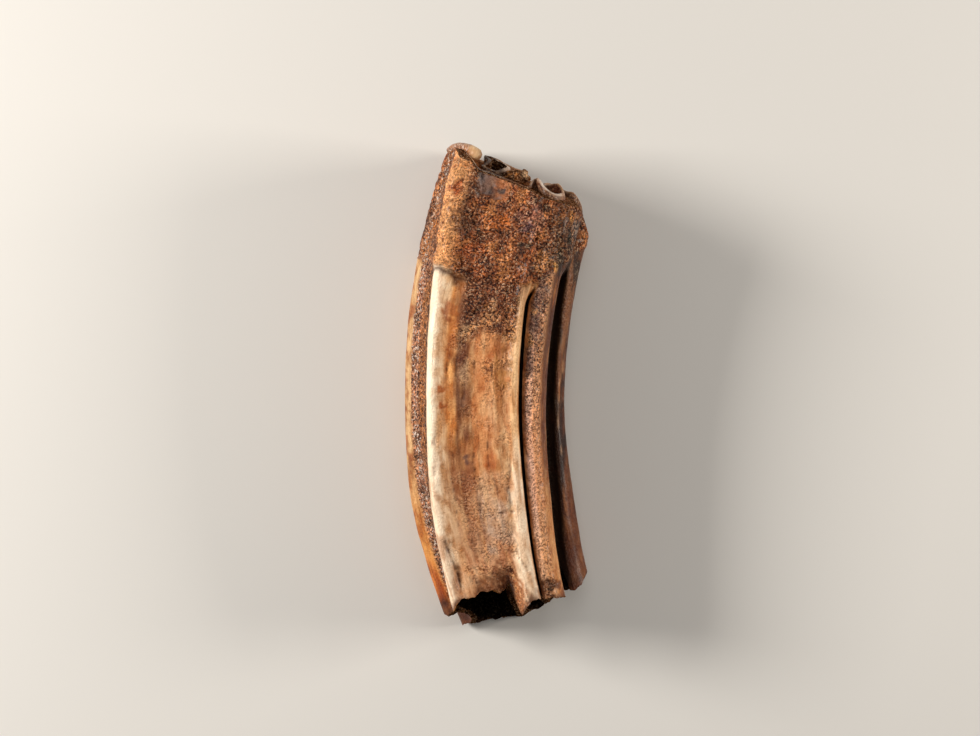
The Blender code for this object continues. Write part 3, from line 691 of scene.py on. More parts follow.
def end_cutter(name, height, cell, far):
    """A closed block whose near side has this height everywhere."""
    columns = round((END_ACROSS[1] - END_ACROSS[0]) / cell)
    rows = round((END_UP[1] - END_UP[0]) / cell)
    x, z = np.meshgrid(np.linspace(*END_ACROSS, columns + 1), np.linspace(*END_UP, rows + 1))
    field = np.stack([x, height(x, z), z], axis=-1)
    bm = sheet(columns, rows, lambda column, row: field[row, column])
    border = [edge for edge in bm.edges if edge.is_boundary]
    made = bmesh.ops.extrude_edge_only(bm, edges=border)["geom"]
    for vert in made:
        if isinstance(vert, bmesh.types.BMVert):
            vert.co.y = far * MM
    bmesh.ops.holes_fill(bm, edges=[edge for edge in bm.edges if edge.is_boundary], sides=0)
    return finish_mesh(name, bm, name)


cutters = [
    end_cutter("chewing_surface", chewing_surface, TABLE_CELL, SKIN_END + END_PAST),
    end_cutter("broken", broken, BREAK_CELL, SKIN_START - END_PAST),
]
print([cutter.name for cutter in cutters], "are ready to cut")

# %% [markdown]
# Three pulp hollows are open at the break, where nerves and vessels ran. Each is a plug that
# narrows towards its inner end, with a wavering wall, and it is cut away. A straight block pushed
# in would miss the bend, so the plug is extruded ring by ring, each ring a little further over.

# %% Pulp hollows at the broken end
HOLLOWS = [
    ("cheek_hollow", -22.5, [
        (-9.5, 18.4), (-9.0, 15.2), (-10.6, 12.2), (-11.2, 10.6), (-10.2, 9.0), (-8.6, 6.6),
        (-9.4, 4.0), (-9.2, 2.4), (-7.2, 1.8), (-4.6, 2.6), (-2.5, 3.9), (-1.5, 6.2),
        (-2.0, 8.6), (-1.6, 11.2), (-2.4, 13.6), (-3.4, 15.8), (-4.0, 17.7), (-6.8, 18.4),
    ]),
    ("tongue_hollow", -25.5, [
        (1.6, 17.2), (0.6, 14.8), (1.2, 12.0), (0.5, 9.2), (1.1, 6.2), (2.6, 4.2), (4.2, 4.4),
        (4.0, 7.0), (3.1, 9.4), (2.9, 11.6), (3.4, 13.8), (5.3, 15.5), (5.9, 17.0), (3.0, 16.0),
    ]),
    ("protocone_hollow", -27.5, [
        (6.2, 3.4), (8.4, 2.5), (10.6, 3.6), (11.4, 5.8), (10.2, 7.6), (8.4, 8.6), (6.5, 7.8),
        (5.9, 5.6),
    ]),
]
HOLLOW_MOUTH, HOLLOW_START, HOLLOW_END = -37.0, -45.0, 0.4
HOLLOW_LEVELS = 22
HOLLOW_WAVER, HOLLOW_WAVER_SIZE = 0.22, 1.8
HOLLOW_LIP = 5.0            # the close rings start this far below the mouth


def rounded(outline):
    """A smooth closed line through the points, with one more point in the middle of each side."""
    line = []
    for number, (x, z) in enumerate(outline):
        before, after, beyond = (outline[(number + step) % len(outline)] for step in (-1, 1, 2))
        line.append((x, z))
        line.append(tuple(
            (9 * (here + there) - near - far) / 16
            for here, there, near, far in zip((x, z), after, before, beyond)))
    return line


def loft(name, levels, finish, closed=True):
    """A solid through these rings. It is capped at both ends, or bridged from end to end."""
    bm = bmesh.new()
    column = bm.verts.layers.int.new("column")
    verts = bmesh.ops.create_circle(bm, segments=len(levels[0]), radius=1.0)["verts"]
    for number, vert in enumerate(verts):
        vert[column] = number
        vert.co = Vector(levels[0][number]) * MM
    foot = edges = list(bm.edges)
    for ring in levels[1:]:
        made = bmesh.ops.extrude_edge_only(bm, edges=edges)["geom"]
        verts = {item for item in made if isinstance(item, bmesh.types.BMVert)}
        for vert in verts:
            vert.co = Vector(ring[vert[column]]) * MM
        edges = [
            item for item in made
            if isinstance(item, bmesh.types.BMEdge) and verts.issuperset(item.verts)]
    if closed:
        bmesh.ops.contextual_create(bm, geom=foot)
        bmesh.ops.contextual_create(bm, geom=edges)
    else:
        bmesh.ops.bridge_loops(bm, edges=foot + edges)
    return finish_mesh(name, bm, finish)


def hollow_ring(outline, y, end):
    """Ring of a pulp hollow at this height."""
    points = np.array(outline)
    middle = points.mean(axis=0)
    share = max(0.0, (y - HOLLOW_MOUTH) / (end - HOLLOW_MOUTH))
    arms = (points - middle) * (1.0 - (1.0 - HOLLOW_END) * share ** 2)
    ring = np.column_stack([points[:, 0], np.full(len(points), y), points[:, 1]])
    waver = 1.0 + HOLLOW_WAVER * lumps(ring, HOLLOW_WAVER_SIZE, 9.0) / np.hypot(*arms.T)
    arms = arms * np.minimum(waver, 1.0)[:, None]
    return [(middle[0] + x + float(bend(y)), y, middle[1] + z) for x, z in arms.tolist()]


for name, end, outline in HOLLOWS:
    line = rounded(rounded(outline))
    heights = [HOLLOW_START, *np.linspace(HOLLOW_MOUTH - HOLLOW_LIP, end, HOLLOW_LEVELS).tolist()]
    cutters.append(loft(name, [hollow_ring(line, y, end) for y in heights], "pulp_hollow"))
print(len(HOLLOWS), "hollows, the deepest", max(end for _, end, _ in HOLLOWS) - HOLLOW_MOUTH, "mm")

# %% [markdown]
# On the chewing end the enamel stands up as a folded wall round the dentine, with two closed
# lakes inside. The wall is a band with a rounded top that follows the fold's outline. The lakes
# are plugs of enamel with a smaller plug cut out of them.

# %% Enamel folds and lakes
ENAMEL, ENAMEL_PROUD, ENAMEL_ROOTED = 0.6, 1.2, 2.4
LAKE_DEEP, LAKE_ABOVE = 2.0, 3.0
ENAMEL_WAVER = [(0.30, 3.0), (0.14, 0.9)]       # height and width of its unevenness

# Where the enamel stands lower or higher: middle, across and up, half sizes, and share added.
WORN_DOWN = [
    ("cheek_corner", (-2.6, 19.5), (1.9, 5.5), -1.1),
    ("distal_wall", (1.5, 24.0), (5.5, 3.4), -1.2),
    ("distal_wall_end", (6.6, 23.0), (1.6, 3.0), -1.0),
    ("valley_wall", (9.9, 13.2), (1.9, 2.8), -1.0),
    ("near_rim", (0.8, 20.6), (2.6, 1.7), -0.75),
    ("hypocone_tip", (9.2, 21.4), (1.1, 1.8), 0.75),
    ("hypocone_near", (12.6, 23.2), (1.6, 1.6), -0.35),
    ("hypocone_far", (12.6, 17.6), (1.4, 1.6), 0.65),
    ("hypocone_side", (14.2, 20.4), (1.0, 1.6), -0.50),
]
WORN_LEAST = 0.08
EASE_PASSES = 8
ROUNDING = [(1.0, -0.35), (0.86, -0.14), (0.5, -0.03), (0.0, 0.0)]   # half width, height


def beside(outline, distance):
    """A closed outline moved sideways by this distance, with its tight corners eased."""
    points = np.array(outline)
    way = np.roll(points, -2, axis=0) - np.roll(points, 2, axis=0)
    way /= np.hypot(*way.T)[:, None]
    moved = points + np.column_stack([way[:, 1], -way[:, 0]]) * distance
    for _ in range(EASE_PASSES):
        moved = (np.roll(moved, 1, axis=0) + 2.0 * moved + np.roll(moved, -1, axis=0)) / 4.0
    return moved


def wall_height(x, z, height):
    """Height that a wall of this height has here, since the enamel is worn unevenly."""
    share = sum(added * spot(x, z, at, half_size) for _, at, half_size, added in WORN_DOWN)
    points = np.column_stack([x, np.zeros_like(x), z])
    for waver, size in ENAMEL_WAVER:
        height = height + waver * lumps(points, size, 13.0)
    return height * np.maximum(1.0 + share, WORN_LEAST)


def fold_level(outline, distance, height):
    """Ring beside a fold's outline, at this height over the worn surface."""
    x, z = beside(outline, distance).T
    height = wall_height(x, z, height) if height > 0.0 else height
    return np.column_stack([x, worn(x, z) + height, z]).tolist()


print(len(WORN_DOWN), "places where the enamel is worn down or left standing")

# %% [markdown]
# A wall's profile could be swept along the fold, but it would pinch where the fold turns tightly.
# Here rings beside the fold are stacked by extrusion instead. The outer fold is closed on itself,
# so its rings go up one side, over the rounded top and down the other. A lake needs only its outer
# side, because a plug cuts the inner one.

# %% Raise the folds
LAKES = [
    ("prefossette", [
        (-7.6, 3.4), (-4.5, 3.6), (-1.5, 4.4), (0.6, 6.2), (0.4, 8.6), (-1.2, 10.6), (-3.6, 11.3),
        (-7.4, 10.8), (-5.8, 9.6), (-4.8, 8.6), (-5.8, 7.4), (-5.9, 5.6),
    ]),
    ("postfossette", [
        (-8.0, 14.4), (-5.6, 13.8), (-3.8, 14.4), (-2.7, 16.0), (-2.6, 18.0), (-3.6, 19.8),
        (-5.0, 20.7), (-8.2, 20.6), (-6.6, 19.2), (-6.2, 17.6), (-6.6, 16.0),
    ]),
]
LAKE_RIM = 0.3              # below the wall's top, where the lake's mouth starts to widen

half = ENAMEL / 2
outer = on_crown(rounded(rounded(OUTER_FOLD)))
across_top = [(share * half, ENAMEL_PROUD + drop) for share, drop in ROUNDING]
profile = [(-half, -ENAMEL_ROOTED)] + [(-side, height) for side, height in across_top]
profile += across_top[-2::-1] + [(half, -ENAMEL_ROOTED)]
folds = [loft("outer_fold", [fold_level(outer, *step) for step in profile], "enamel", closed=False)]
lakes = []
for name, outline in LAKES:
    line = on_crown(rounded(rounded(outline)))
    wall = [(half, -ENAMEL_ROOTED)] + across_top
    folds.append(loft(name, [fold_level(line, *step) for step in wall], "enamel"))
    water = [(-half, -LAKE_DEEP), (-half, ENAMEL_PROUD - LAKE_RIM), (-0.5 * half, LAKE_ABOVE)]
    lakes.append(loft(name + "_lake", [fold_level(line, *step) for step in water], "lake"))
print("the enamel wall has", len(outer), "points round it, and there are", len(lakes), "lakes")

# %% [markdown]
# The cheek corner carries the thickest enamel, polished to a rounded bead, and near the worn
# facet two rough stubs of dentine were left standing. The bead is a string of rings that follows
# the rim, and the stubs are balls pushed out of shape by noise. All are joined to the tooth.

# %% The cheek bead and the rough stubs
# Points across, along and up, and the radius there.
BEAD = [
    (-6.1, 39.7, 12.2, 0.20), (-5.9, 40.0, 12.7, 0.55), (-5.1, 40.3, 14.5, 0.70),
    (-4.2, 40.3, 16.8, 0.72), (-3.3, 40.0, 19.2, 0.75), (-2.4, 39.5, 21.4, 0.85),
    (-1.7, 38.9, 22.7, 1.00), (-1.2, 38.5, 23.1, 1.00), (-0.8, 38.1, 23.3, 0.70),
    (-0.6, 37.9, 23.4, 0.20),
]
BEAD_SIDES = 20
STUBS = [((5.3, 34.9, 20.0), (2.2, 1.25, 1.7)), ((6.8, 35.3, 20.8), (0.75, 0.75, 0.8))]
STUB_ROUGH, STUB_ROUGH_SIZE, STUB_ROUNDS = 0.45, 0.9, 4


def ring_across(at, before, after, radius):
    """A ring of points round a path, square to the way it runs."""
    way = (Vector(after) - Vector(before)).to_track_quat("Z", "Y")
    turns = np.linspace(0.0, 2.0 * np.pi, BEAD_SIDES, endpoint=False)
    return [Vector(at) + way @ Vector((np.cos(turn), np.sin(turn), 0.0)) * radius for turn in turns]


path = [row[:3] for row in BEAD]
rings = [
    ring_across(at, path[max(number - 1, 0)], path[min(number + 1, len(path) - 1)], BEAD[number][3])
    for number, at in enumerate(path)]
folds.append(loft("cheek_bead", rings, "enamel"))
for number, (at, half_size) in enumerate(STUBS):
    bm = bmesh.new()
    bmesh.ops.create_icosphere(bm, subdivisions=STUB_ROUNDS, radius=1.0)
    for vert in bm.verts:
        ball = np.array(vert.co) * half_size
        push = 1.0 + STUB_ROUGH * lumps(ball + at, STUB_ROUGH_SIZE, 19.0) / min(half_size)
        vert.co = Vector(ball * push + at) * MM
    folds.append(finish_mesh(f"stub_{number}", bm, "broken"))
print("a bead of", len(rings), "rings and", len(STUBS), "stubs")

# %% [markdown]
# The Booleans are run one after the other and applied, because the stains are painted on the
# finished points. The exact solver is used, since it copes with walls that lie close together.

# %% Cut, join and apply
def combine(other, operation):
    """Joins the tooth with a helper or cuts it, when the modifiers are applied."""
    change = tooth.modifiers.new(other.name, "BOOLEAN")
    change.operation = operation
    change.solver = "EXACT"
    change.object = other


for cutter in cutters:
    combine(cutter, "DIFFERENCE")
for fold in folds:
    combine(fold, "UNION")
for lake in lakes:
    combine(lake, "DIFFERENCE")
graph = bpy.context.evaluated_depsgraph_get()
carved = bpy.data.meshes.new_from_object(tooth.evaluated_get(graph))
tooth.modifiers.clear()
tooth.data = carved
for helper in [*cutters, *folds, *lakes]:
    bpy.data.objects.remove(helper)
print("the carved tooth has", len(carved.vertices), "points and", len(carved.polygons), "faces")

# %% [markdown]
# Booleans leave a few edges of almost no length, which would shade as black specks, so they are
# dissolved. The edges where two finishes meet, such as the rim of the break, are real corners of
# the fossil and stay sharp, while the rest of the tooth is shaded smooth.

# %% Clean the joins and keep the real corners sharp
SPECK = 2e-6                # edges shorter than this, in metres, are dissolved

bm = bmesh.new()
bm.from_mesh(carved)
bmesh.ops.dissolve_degenerate(bm, dist=SPECK, edges=bm.edges)
bmesh.ops.triangulate(bm, faces=bm.faces)
for edge in bm.edges:
    edge.smooth = len({face.material_index for face in edge.link_faces}) == 1
open_edges = sum(not edge.is_manifold for edge in bm.edges)
bm.to_mesh(carved)
bm.free()
for face in carved.polygons:
    face.use_smooth = True
print("triangles", len(carved.polygons), "open edges", open_edges)

# %% [markdown]
# Now each finished point is asked where it came from. The nearest point of the skin tells its
# place round the section and how deep under the old surface it lies, so one set of rules can
# stain ribs, flutes and broken walls alike. Painting by rule keeps the stains on the ribs if a
# landmark moves. The bend is taken out of the positions, so that streaks follow the tooth.

# %% Where every finished point belongs
TURNED_UP = (0.62, 0.78)    # shares of the depth between which a point counts as turned up
RUB_FADE, RUB_FRAY, RUB_FRAY_SIZE = (6.5, 2.5), 2.0, 1.6    # where the facet's polish ends


def values_of(mesh, collection, name, width):
    """An array of one property of all of a mesh's items."""
    items = getattr(mesh, collection)
    values = np.empty(len(items) * width)
    items.foreach_get(name, values)
    return values.reshape(-1, width) if width > 1 else values


points = values_of(carved, "vertices", "co", 3) / MM
nearest = kdtree.KDTree(skin.shape[0] * skin.shape[1])
for number, place in enumerate(skin.reshape(-1, 3).tolist()):
    nearest.insert(place, number)
nearest.balance()
found = [nearest.find(place)[1:] for place in points.tolist()]
numbers = np.array([number for number, _ in found])
under = np.array([distance for _, distance in found])
place = skin_places[numbers % (AROUND + 1)]
x, y, z = points.T
across = x - bend(y)
straight = np.column_stack([across, y, z])
upper = smooth(TURNED_UP[0] * DEPTH, TURNED_UP[1] * DEPTH, z)
crown_drift, root_drift = (share[:, 0] for share in drift(np.minimum(y, DRIFT_END)))
tall = z / (DEPTH * (1.0 + CROWN_SWELL * crown_drift - ROOT_TAPER * root_drift))
over_edge = over_crust_edge(place, straight)
crusted = smooth(0.0, CRUST_STEP, over_edge)
rubbed = facet(x, y, z)
polished = rubbed * smooth(*RUB_FADE, x + RUB_FRAY * lumps(straight, RUB_FRAY_SIZE, 62.0))
print("points further than 0.5 mm under the old skin:", int((under > 0.5).sum()))

# %% [markdown]
# The fossil's colours are few: ivory, cream and tan enamel, peach and rust where iron seeped in,
# brown and umber cement, plum and slate where it is darkest. They are laid one over another like
# washes of paint, each with a soft mask, so any of them can be changed on its own.

# %% The pigments and the noise that breaks them up
SCREEN_WHITE, SCREEN_CURVE = 255.0, 2.2

# Red, green and blue, as they are mixed on a screen.
IVORY = (250, 234, 210)
CREAM = (242, 206, 162)
TAN = (205, 148, 96)
PEACH = (216, 148, 96)
GOLD = (206, 140, 80)
ORANGE = (192, 104, 44)
RUST = (158, 74, 30)
BROWN = (132, 76, 42)
UMBER = (72, 40, 24)
PLUM = (112, 76, 68)
ASH = (150, 112, 86)
SLATE = (120, 108, 106)
BLACK = (14, 7, 4)


def pigment(colour):
    """The light that a colour mixed on a screen reflects."""
    return (np.array(colour) / SCREEN_WHITE) ** SCREEN_CURVE


def ground(colour):
    """A first layer of one colour for every point."""
    return np.tile(pigment(colour), (len(points), 1))


def wash(paint, colour, mask):
    """Lays a colour over the paint, as far as the mask says."""
    paint += (pigment(colour) - paint) * np.clip(mask, 0.0, 1.0)[:, None]


def covered(mask):
    """How many points a mask covers."""
    return int((mask > 0.5).sum())


fine = lumps(straight, 0.8, 51.0)
middle = lumps(straight, 2.2, 52.0)
broad = lumps(straight, 6.0, 53.0)
thread = lumps(straight, (0.7, 6.0, 0.7), 54.0)
streak = lumps(straight, (1.5, 20.0, 1.5), 55.0)
print("noise from", round(float(fine.min()), 2), "to", round(float(fine.max()), 2))

# %% [markdown]
# The distal face looks like old wood: strips of peach, ash and brown run along it between the two
# pale ribs. Each strip has a pigment, the width it covers at the middle of the tooth and the
# heights between which it shows. Noise frays its edges, so that no strip ends in a line.

# %% Stain the distal face
STRIP_SOFT, STRIP_ENDS, STRIP_STRAY = 0.45, 1.6, 4.0    # how its sides and ends fade and stray

# Name, pigment, across from and to, up from and to, strength.
STRIPS = [
    ("beside_crest", (244, 176, 108), -7.9, -4.8, -9.0, 17.5, 0.92),
    ("cream_under_crust", CREAM, -8.4, -6.9, 9.0, 18.5, 0.70),
    ("rust_under_crust", (200, 124, 66), -6.4, -4.6, 8.0, 16.5, 0.55),
    ("ash_strip", ASH, -4.9, -3.0, -3.0, 17.0, 0.85),
    ("blot", (120, 78, 58), -4.5, -2.2, -8.5, 0.5, 0.75),
    ("peach_strip", PEACH, -2.0, 1.4, -15.0, 10.0, 0.85),
    ("pale_strip", (224, 172, 130), 0.2, 1.7, -8.0, -1.0, 0.55),
    ("brown_strip", (182, 118, 70), 1.6, 4.2, -9.0, 12.0, 0.80),
    ("olive_band", (170, 116, 50), 1.6, 4.0, 1.2, 2.9, 0.60),
    ("ash_patch", ASH, 2.2, 4.2, 3.0, 4.8, 0.60),
    ("pale_low", (214, 168, 132), -8.5, 4.5, -34.0, -15.0, 0.75),
    ("tan_low_cheek", (150, 96, 60), -6.5, -4.2, -27.0, -10.0, 0.80),
    ("cream_low_cheek", (228, 190, 150), -8.6, -6.4, -33.0, -7.0, 0.60),
    ("cream_foot", (222, 172, 130), -7.6, -3.0, -36.0, -28.0, 0.70),
    ("brown_low", (176, 118, 78), -4.2, -2.2, -22.0, -9.0, 0.60),
    ("granules_low", (182, 128, 94), -6.6, -1.6, -33.0, -21.0, 0.60),
    ("slate_low", (206, 182, 164), -2.6, 2.2, -27.0, -20.0, 0.70),
    ("rusty_low", (172, 104, 64), -1.0, 2.2, -34.0, -26.0, 0.70),
]

face = ground(TAN)
wash(face, CREAM, 0.6 * smooth(0.0, 0.4, -streak))
for name, colour, start, end, low, high, strength in STRIPS:
    sides = band(across + 0.8 * thread, start, end, STRIP_SOFT)
    ends = band(y + STRIP_STRAY * middle, low, high, STRIP_ENDS)
    wash(face, colour, strength * sides * ends)
# Grain over the strips: brown blots, thin umber threads and pale ones.
low_face = smooth(-16.0, -26.0, y)
wash(face, BROWN, (0.30 - 0.15 * low_face) * smooth(0.12, 0.42, 0.5 * thread + 0.6 * middle))
wash(face, UMBER, 0.35 * smooth(0.30, 0.50, thread) * band(across, -5.2, -2.0, 0.5))
wash(face, (226, 180, 132), 0.45 * smooth(0.12, 0.40, -thread - 0.2 * middle))
# Under the crust a granular patch is left, rusty brown and umber.
granular = band(place + 0.4 * middle, *DISTAL_PATCH, 0.45) * smooth(4.0, 14.5, y + 9.0 * middle + 3.0 * fine)
wash(face, (112, 46, 12), 0.92 * granular)
wash(face, UMBER, 0.45 * granular * smooth(0.0, 0.35, middle))
print(len(STRIPS), "strips")

# %% [markdown]
# Next come the ribs and flutes round the column: ivory crest, cream ridge, the cheek flute with
# its dark pitted cord beside orange cement, black grooves, and the two columns on the tongue side.

# %% Stain the ribs and the flutes
CREST_EDGE = (4.9, 6.9)         # the whitest part of the metastyle's crest
UNDER_CREST = (4.35, 4.95)
CORD_START, CORD_END = 1.55, 2.7
CORD_SPREAD_UP, CORD_SPREAD_DOWN = 0.6, 1.6     # how much wider it grows near crown and root

rib = band(place, *METASTYLE, 0.2)
mesostyle = band(np.where(place < 20, place + COUNT, place), *MESOSTYLE, 0.3)
flute = band(place, *FLUTE, 0.2)
cord_end = CORD_END + CORD_SPREAD_DOWN * smooth(-8.0, -26.0, y)
cord_start = CORD_START - CORD_SPREAD_UP * smooth(0.0, 14.0, y)
cord = smooth(-0.2, 0.2, place - cord_start) * smooth(0.2, -0.2, place - cord_end) * smooth(-37.0, -33.0, y)
ridge_from = RIDGE[0] - 0.9 * smooth(-16.0, -24.0, y)
ridge = band(place + 0.5 * thread + 0.5 * middle, ridge_from, RIDGE[1] + 0.2, 0.45)

column = face.copy()
# The crest: whitest on its edge, stained in mottles on its tongue side.
wash(column, (250, 220, 184), rib)
wash(column, IVORY, band(place, *CREST_EDGE, 0.4))
mottled = smooth(6.0, 7.2, place + middle) * smooth(-0.2, 0.3, middle + 0.8 * fine)
wash(column, (220, 158, 98), 0.4 * rib * mottled)
wash(column, (236, 210, 182), 0.8 * rib * smooth(-6.0, -16.0, y))
low_stains = smooth(-6.0, -20.0, y) * smooth(0.10, 0.40, middle + 0.9 * thread)
wash(column, (176, 122, 82), 0.6 * rib * low_stains)
wash(column, (232, 176, 118), 0.6 * rib * smooth(6.9, 7.5, place) * smooth(0.0, 0.3, thread + 0.3))
# The ridge: cream, paler towards the root, with tan threads.
wash(column, (244, 200, 150), 0.95 * ridge)
wash(column, (250, 226, 198), 0.9 * ridge * smooth(-7.0, -16.0, y + 3.0 * middle))
wash(column, (196, 134, 78), 0.6 * ridge * smooth(0.1, 0.4, thread))
wash(column, BROWN, 0.6 * band(place, *RIDGE, 0.5) * smooth(8.0, 16.0, y))
# The flute: orange cement, the dark cord in it, and a dark line under the crest.
wash(column, (164, 100, 50), flute)
wash(column, UMBER, 0.55 * flute * smooth(0.05, 0.40, fine + 0.4 * middle))
wash(column, (176, 120, 94), 0.92 * cord)
wash(column, UMBER, 0.7 * cord * smooth(0.05, 0.30, middle + 0.7 * fine))
wash(column, UMBER, 0.85 * band(place, *UNDER_CREST, 0.15))
# The mesostyle, the outermost rib: tan, then orange and umber towards the root.
wash(column, (204, 166, 120), mesostyle)
wash(column, (150, 92, 48), 0.65 * mesostyle * smooth(0.0, 0.4, middle + 0.9 * fine))
wash(column, (206, 142, 76), mesostyle * smooth(-12.0, -28.0, y + 4.0 * middle))
wash(column, ORANGE, 0.8 * mesostyle * smooth(-27.0, -35.0, y + 3.0 * middle))
wash(column, UMBER, mesostyle * smooth(-35.0, -37.5, y))
wash(column, RUST, 0.35 * mesostyle * smooth(0.15, 0.4, middle))
print("points on the crest:", covered(rib), "and in the flute:", covered(flute))

# %% [markdown]
# Two columns stand on the tongue side. The hypocone is pitted and plum beside the groove and
# smooth on its far side, with a pale painted highlight on its flank by the groove. The protocone
# is nearly black, with tan streaks and pale threads of painted highlight. Between them lies the
# valley, carved deep and painted black, partly as stain and partly as painted shade: a groove that
# only light could darken would turn grey wherever the studio's lamps reach in.

# %% Stain the columns on the tongue side, with painted shade and highlights
GROOVE_STAIN_AND_SHADE, VALLEY_STAIN_AND_SHADE = (13.0, 16.6), (20.55, 25.9)
HYPOCONE_FLANK, PROTOCONE_EDGE, PROTOCONE_FROM = (16.8, 17.5), (26.6, 27.8), 25.7

lobe = band(place, *HYPOCONE_PITTED, 0.2)
smooth_lobe = band(place, *HYPOCONE_SMOOTH, 0.3)
wash(column, (228, 166, 122), lobe)
# A pale pink band of painted highlight on the flank beside the groove.
wash(column, (232, 188, 168), 0.85 * lobe * smooth(18.1, 17.7, place))
wash(column, PLUM, 0.85 * lobe * smooth(-1.0, 10.0, y + 8.0 * middle) * smooth(18.9, 18.2, place + middle))
wash(column, (226, 172, 124), 0.6 * lobe * smooth(-18.0, -30.0, y))
wash(column, (116, 72, 46), smooth_lobe)
wash(column, UMBER, 0.55 * smooth_lobe * smooth(-2.0, 14.0, y + 5.0 * middle))
wash(column, (222, 164, 108), 0.85 * smooth_lobe * smooth(-10.0, -24.0, y + 4.0 * middle))
wash(column, GOLD, 0.5 * smooth_lobe * smooth(0.1, 0.4, thread))
# The protocone: nearly black, with tan streaks, pale threads of painted highlight, and brown towards the
# root.
protocone = band(place, PROTOCONE_FROM, PROTOCONE[1], 0.35)
wash(column, (50, 27, 14), protocone)
wash(column, UMBER, 0.7 * protocone * smooth(0.0, 0.4, streak + 0.3 * middle))
wash(column, (156, 104, 68), 0.6 * protocone * smooth(0.1, 0.4, -streak - 0.6 * thread))
# Pale threads of painted highlight on the upper protocone.
wash(column, (214, 164, 120), 0.8 * protocone * smooth(0.30, 0.48, thread) * smooth(10.0, 0.0, y))
wash(column, (122, 72, 38), 0.7 * protocone * smooth(-14.0, -26.0, y + 6.0 * streak))
wash(column, UMBER, 0.8 * protocone * smooth(-32.0, -35.0, y))
# Its edge, painted shade on the hypocone's flank, and the groove and the valley, black with stain and with
# painted shade.
wash(column, (112, 66, 38), 0.7 * band(place, *PROTOCONE_EDGE, 0.25) * smooth(0.0, 0.3, middle + 0.3))
wash(column, UMBER, 0.5 * band(place, *HYPOCONE_FLANK, 0.3) * smooth(0.0, 0.35, fine + 0.4 * middle))
wash(column, BLACK, 0.97 * band(place, *GROOVE_STAIN_AND_SHADE, 0.15) * smooth(0.965, 0.90, tall + 0.03 * fine))
valley = band(place, *VALLEY_STAIN_AND_SHADE, 0.3)
wash(column, (34, 20, 13), 0.97 * valley)
wash(column, (70, 42, 26), 0.5 * valley * smooth(0.1, 0.4, middle + 0.4 * streak))
print("points on the protocone:", covered(protocone), "and in the valley:", covered(valley))

# %% [markdown]
# The underside and the second flute on the cheek side lay in the same ground as the rest. They
# could be left plain, but the tooth is also seen from there. They get the same few pigments, laid
# by the same rules, so it looks the same fossil from every side.

# %% Stain the hidden sides
MESIAL_FLUTE, MESIAL_EDGE, PARASTYLE = (38.6, 41.0), (30.5, 31.6), (36.6, 38.5)

frayed_place = place + 0.6 * thread + 0.6 * middle
under_side = band(frayed_place, *MESIAL, 0.4)
cheek_flute = band(frayed_place, *MESIAL_FLUTE, 0.4)
wash(column, (190, 134, 84), 0.7 * under_side)
wash(column, BROWN, 0.55 * under_side * smooth(-0.05, 0.4, streak + 0.6 * middle))
wash(column, UMBER, 0.6 * band(place, *MESIAL_EDGE, 0.4))
wash(column, (150, 96, 58), cheek_flute)
wash(column, UMBER, 0.5 * cheek_flute * smooth(0.0, 0.35, fine + 0.5 * middle))
wash(column, CREAM, 0.8 * band(frayed_place, *PARASTYLE, 0.4))
worn_foot = smooth(-36.0, -39.0, y + 2.0 * middle)
wash(column, (112, 64, 36), 0.85 * worn_foot)
wash(column, UMBER, 0.8 * worn_foot * smooth(0.6, 0.35, z / DEPTH))
print("points on the underside:", covered(under_side))

# %% [markdown]
# The crust is brown with rust, umber and golden grains. It is paler where it lies over the crest
# and darker over the tongue side. The facet that the next tooth rubbed is grey with dark blots on
# its cheek side and a warm tan on the other. Each is a layer of its own, painted over the whole
# tooth, so that its ragged edge can be cut out later by one mask.

# %% Stain the crust and the facet, with painted shade over the valley
OVER_CREST, OVER_FLUTE, OVER_TONGUE, OVER_VALLEY_STAIN_AND_SHADE = (5.0, 7.3), (0.8, 4.6), (16.5, 26.5), (19.8, 25.5)

crust = ground((144, 76, 38))
wash(crust, RUST, 0.38 * smooth(0.0, 0.4, broad + 0.4 * middle))
wash(crust, UMBER, 0.70 * smooth(0.0, 0.40, middle + 0.4 * broad))
wash(crust, (196, 126, 72), 0.75 * smooth(0.0, 0.4, -middle - 0.4 * broad))
wash(crust, (236, 170, 112), 0.92 * band(place, *OVER_CREST, 0.35) * smooth(-0.7, -0.1, -fine))
wash(crust, (162, 104, 62), 0.75 * band(place, *OVER_FLUTE, 0.5) * smooth(-0.5, 0.1, -middle))
wash(crust, UMBER, 0.45 * band(place, *OVER_TONGUE, 0.6))
# Where the valley runs into the crust it is black, partly stain and partly painted shade.
wash(crust, BLACK, 0.5 * band(place, *OVER_VALLEY_STAIN_AND_SHADE, 0.5) * smooth(28.0, 22.0, y))

rub = ground((132, 112, 106))
wash(rub, (180, 112, 72), smooth(0.8, 2.2, x + 1.6 * middle + 1.6 * fine))
wash(rub, (200, 136, 92), 0.6 * spot(x, y, (3.9, 33.4), (1.2, 0.8)))
wash(rub, (48, 44, 50), 0.90 * smooth(-0.1, 0.15, middle + 1.4 * fine) * smooth(3.4, 1.0, x))
wash(rub, (124, 80, 56), 0.5 * smooth(0.0, 0.3, -middle + 0.7 * fine))
wash(rub, (176, 160, 148), 0.5 * spot(x, y, (-0.9, 35.2), (0.10, 2.0)))
print("points on the crust:", covered(crusted), "and on the facet:", covered(rubbed))
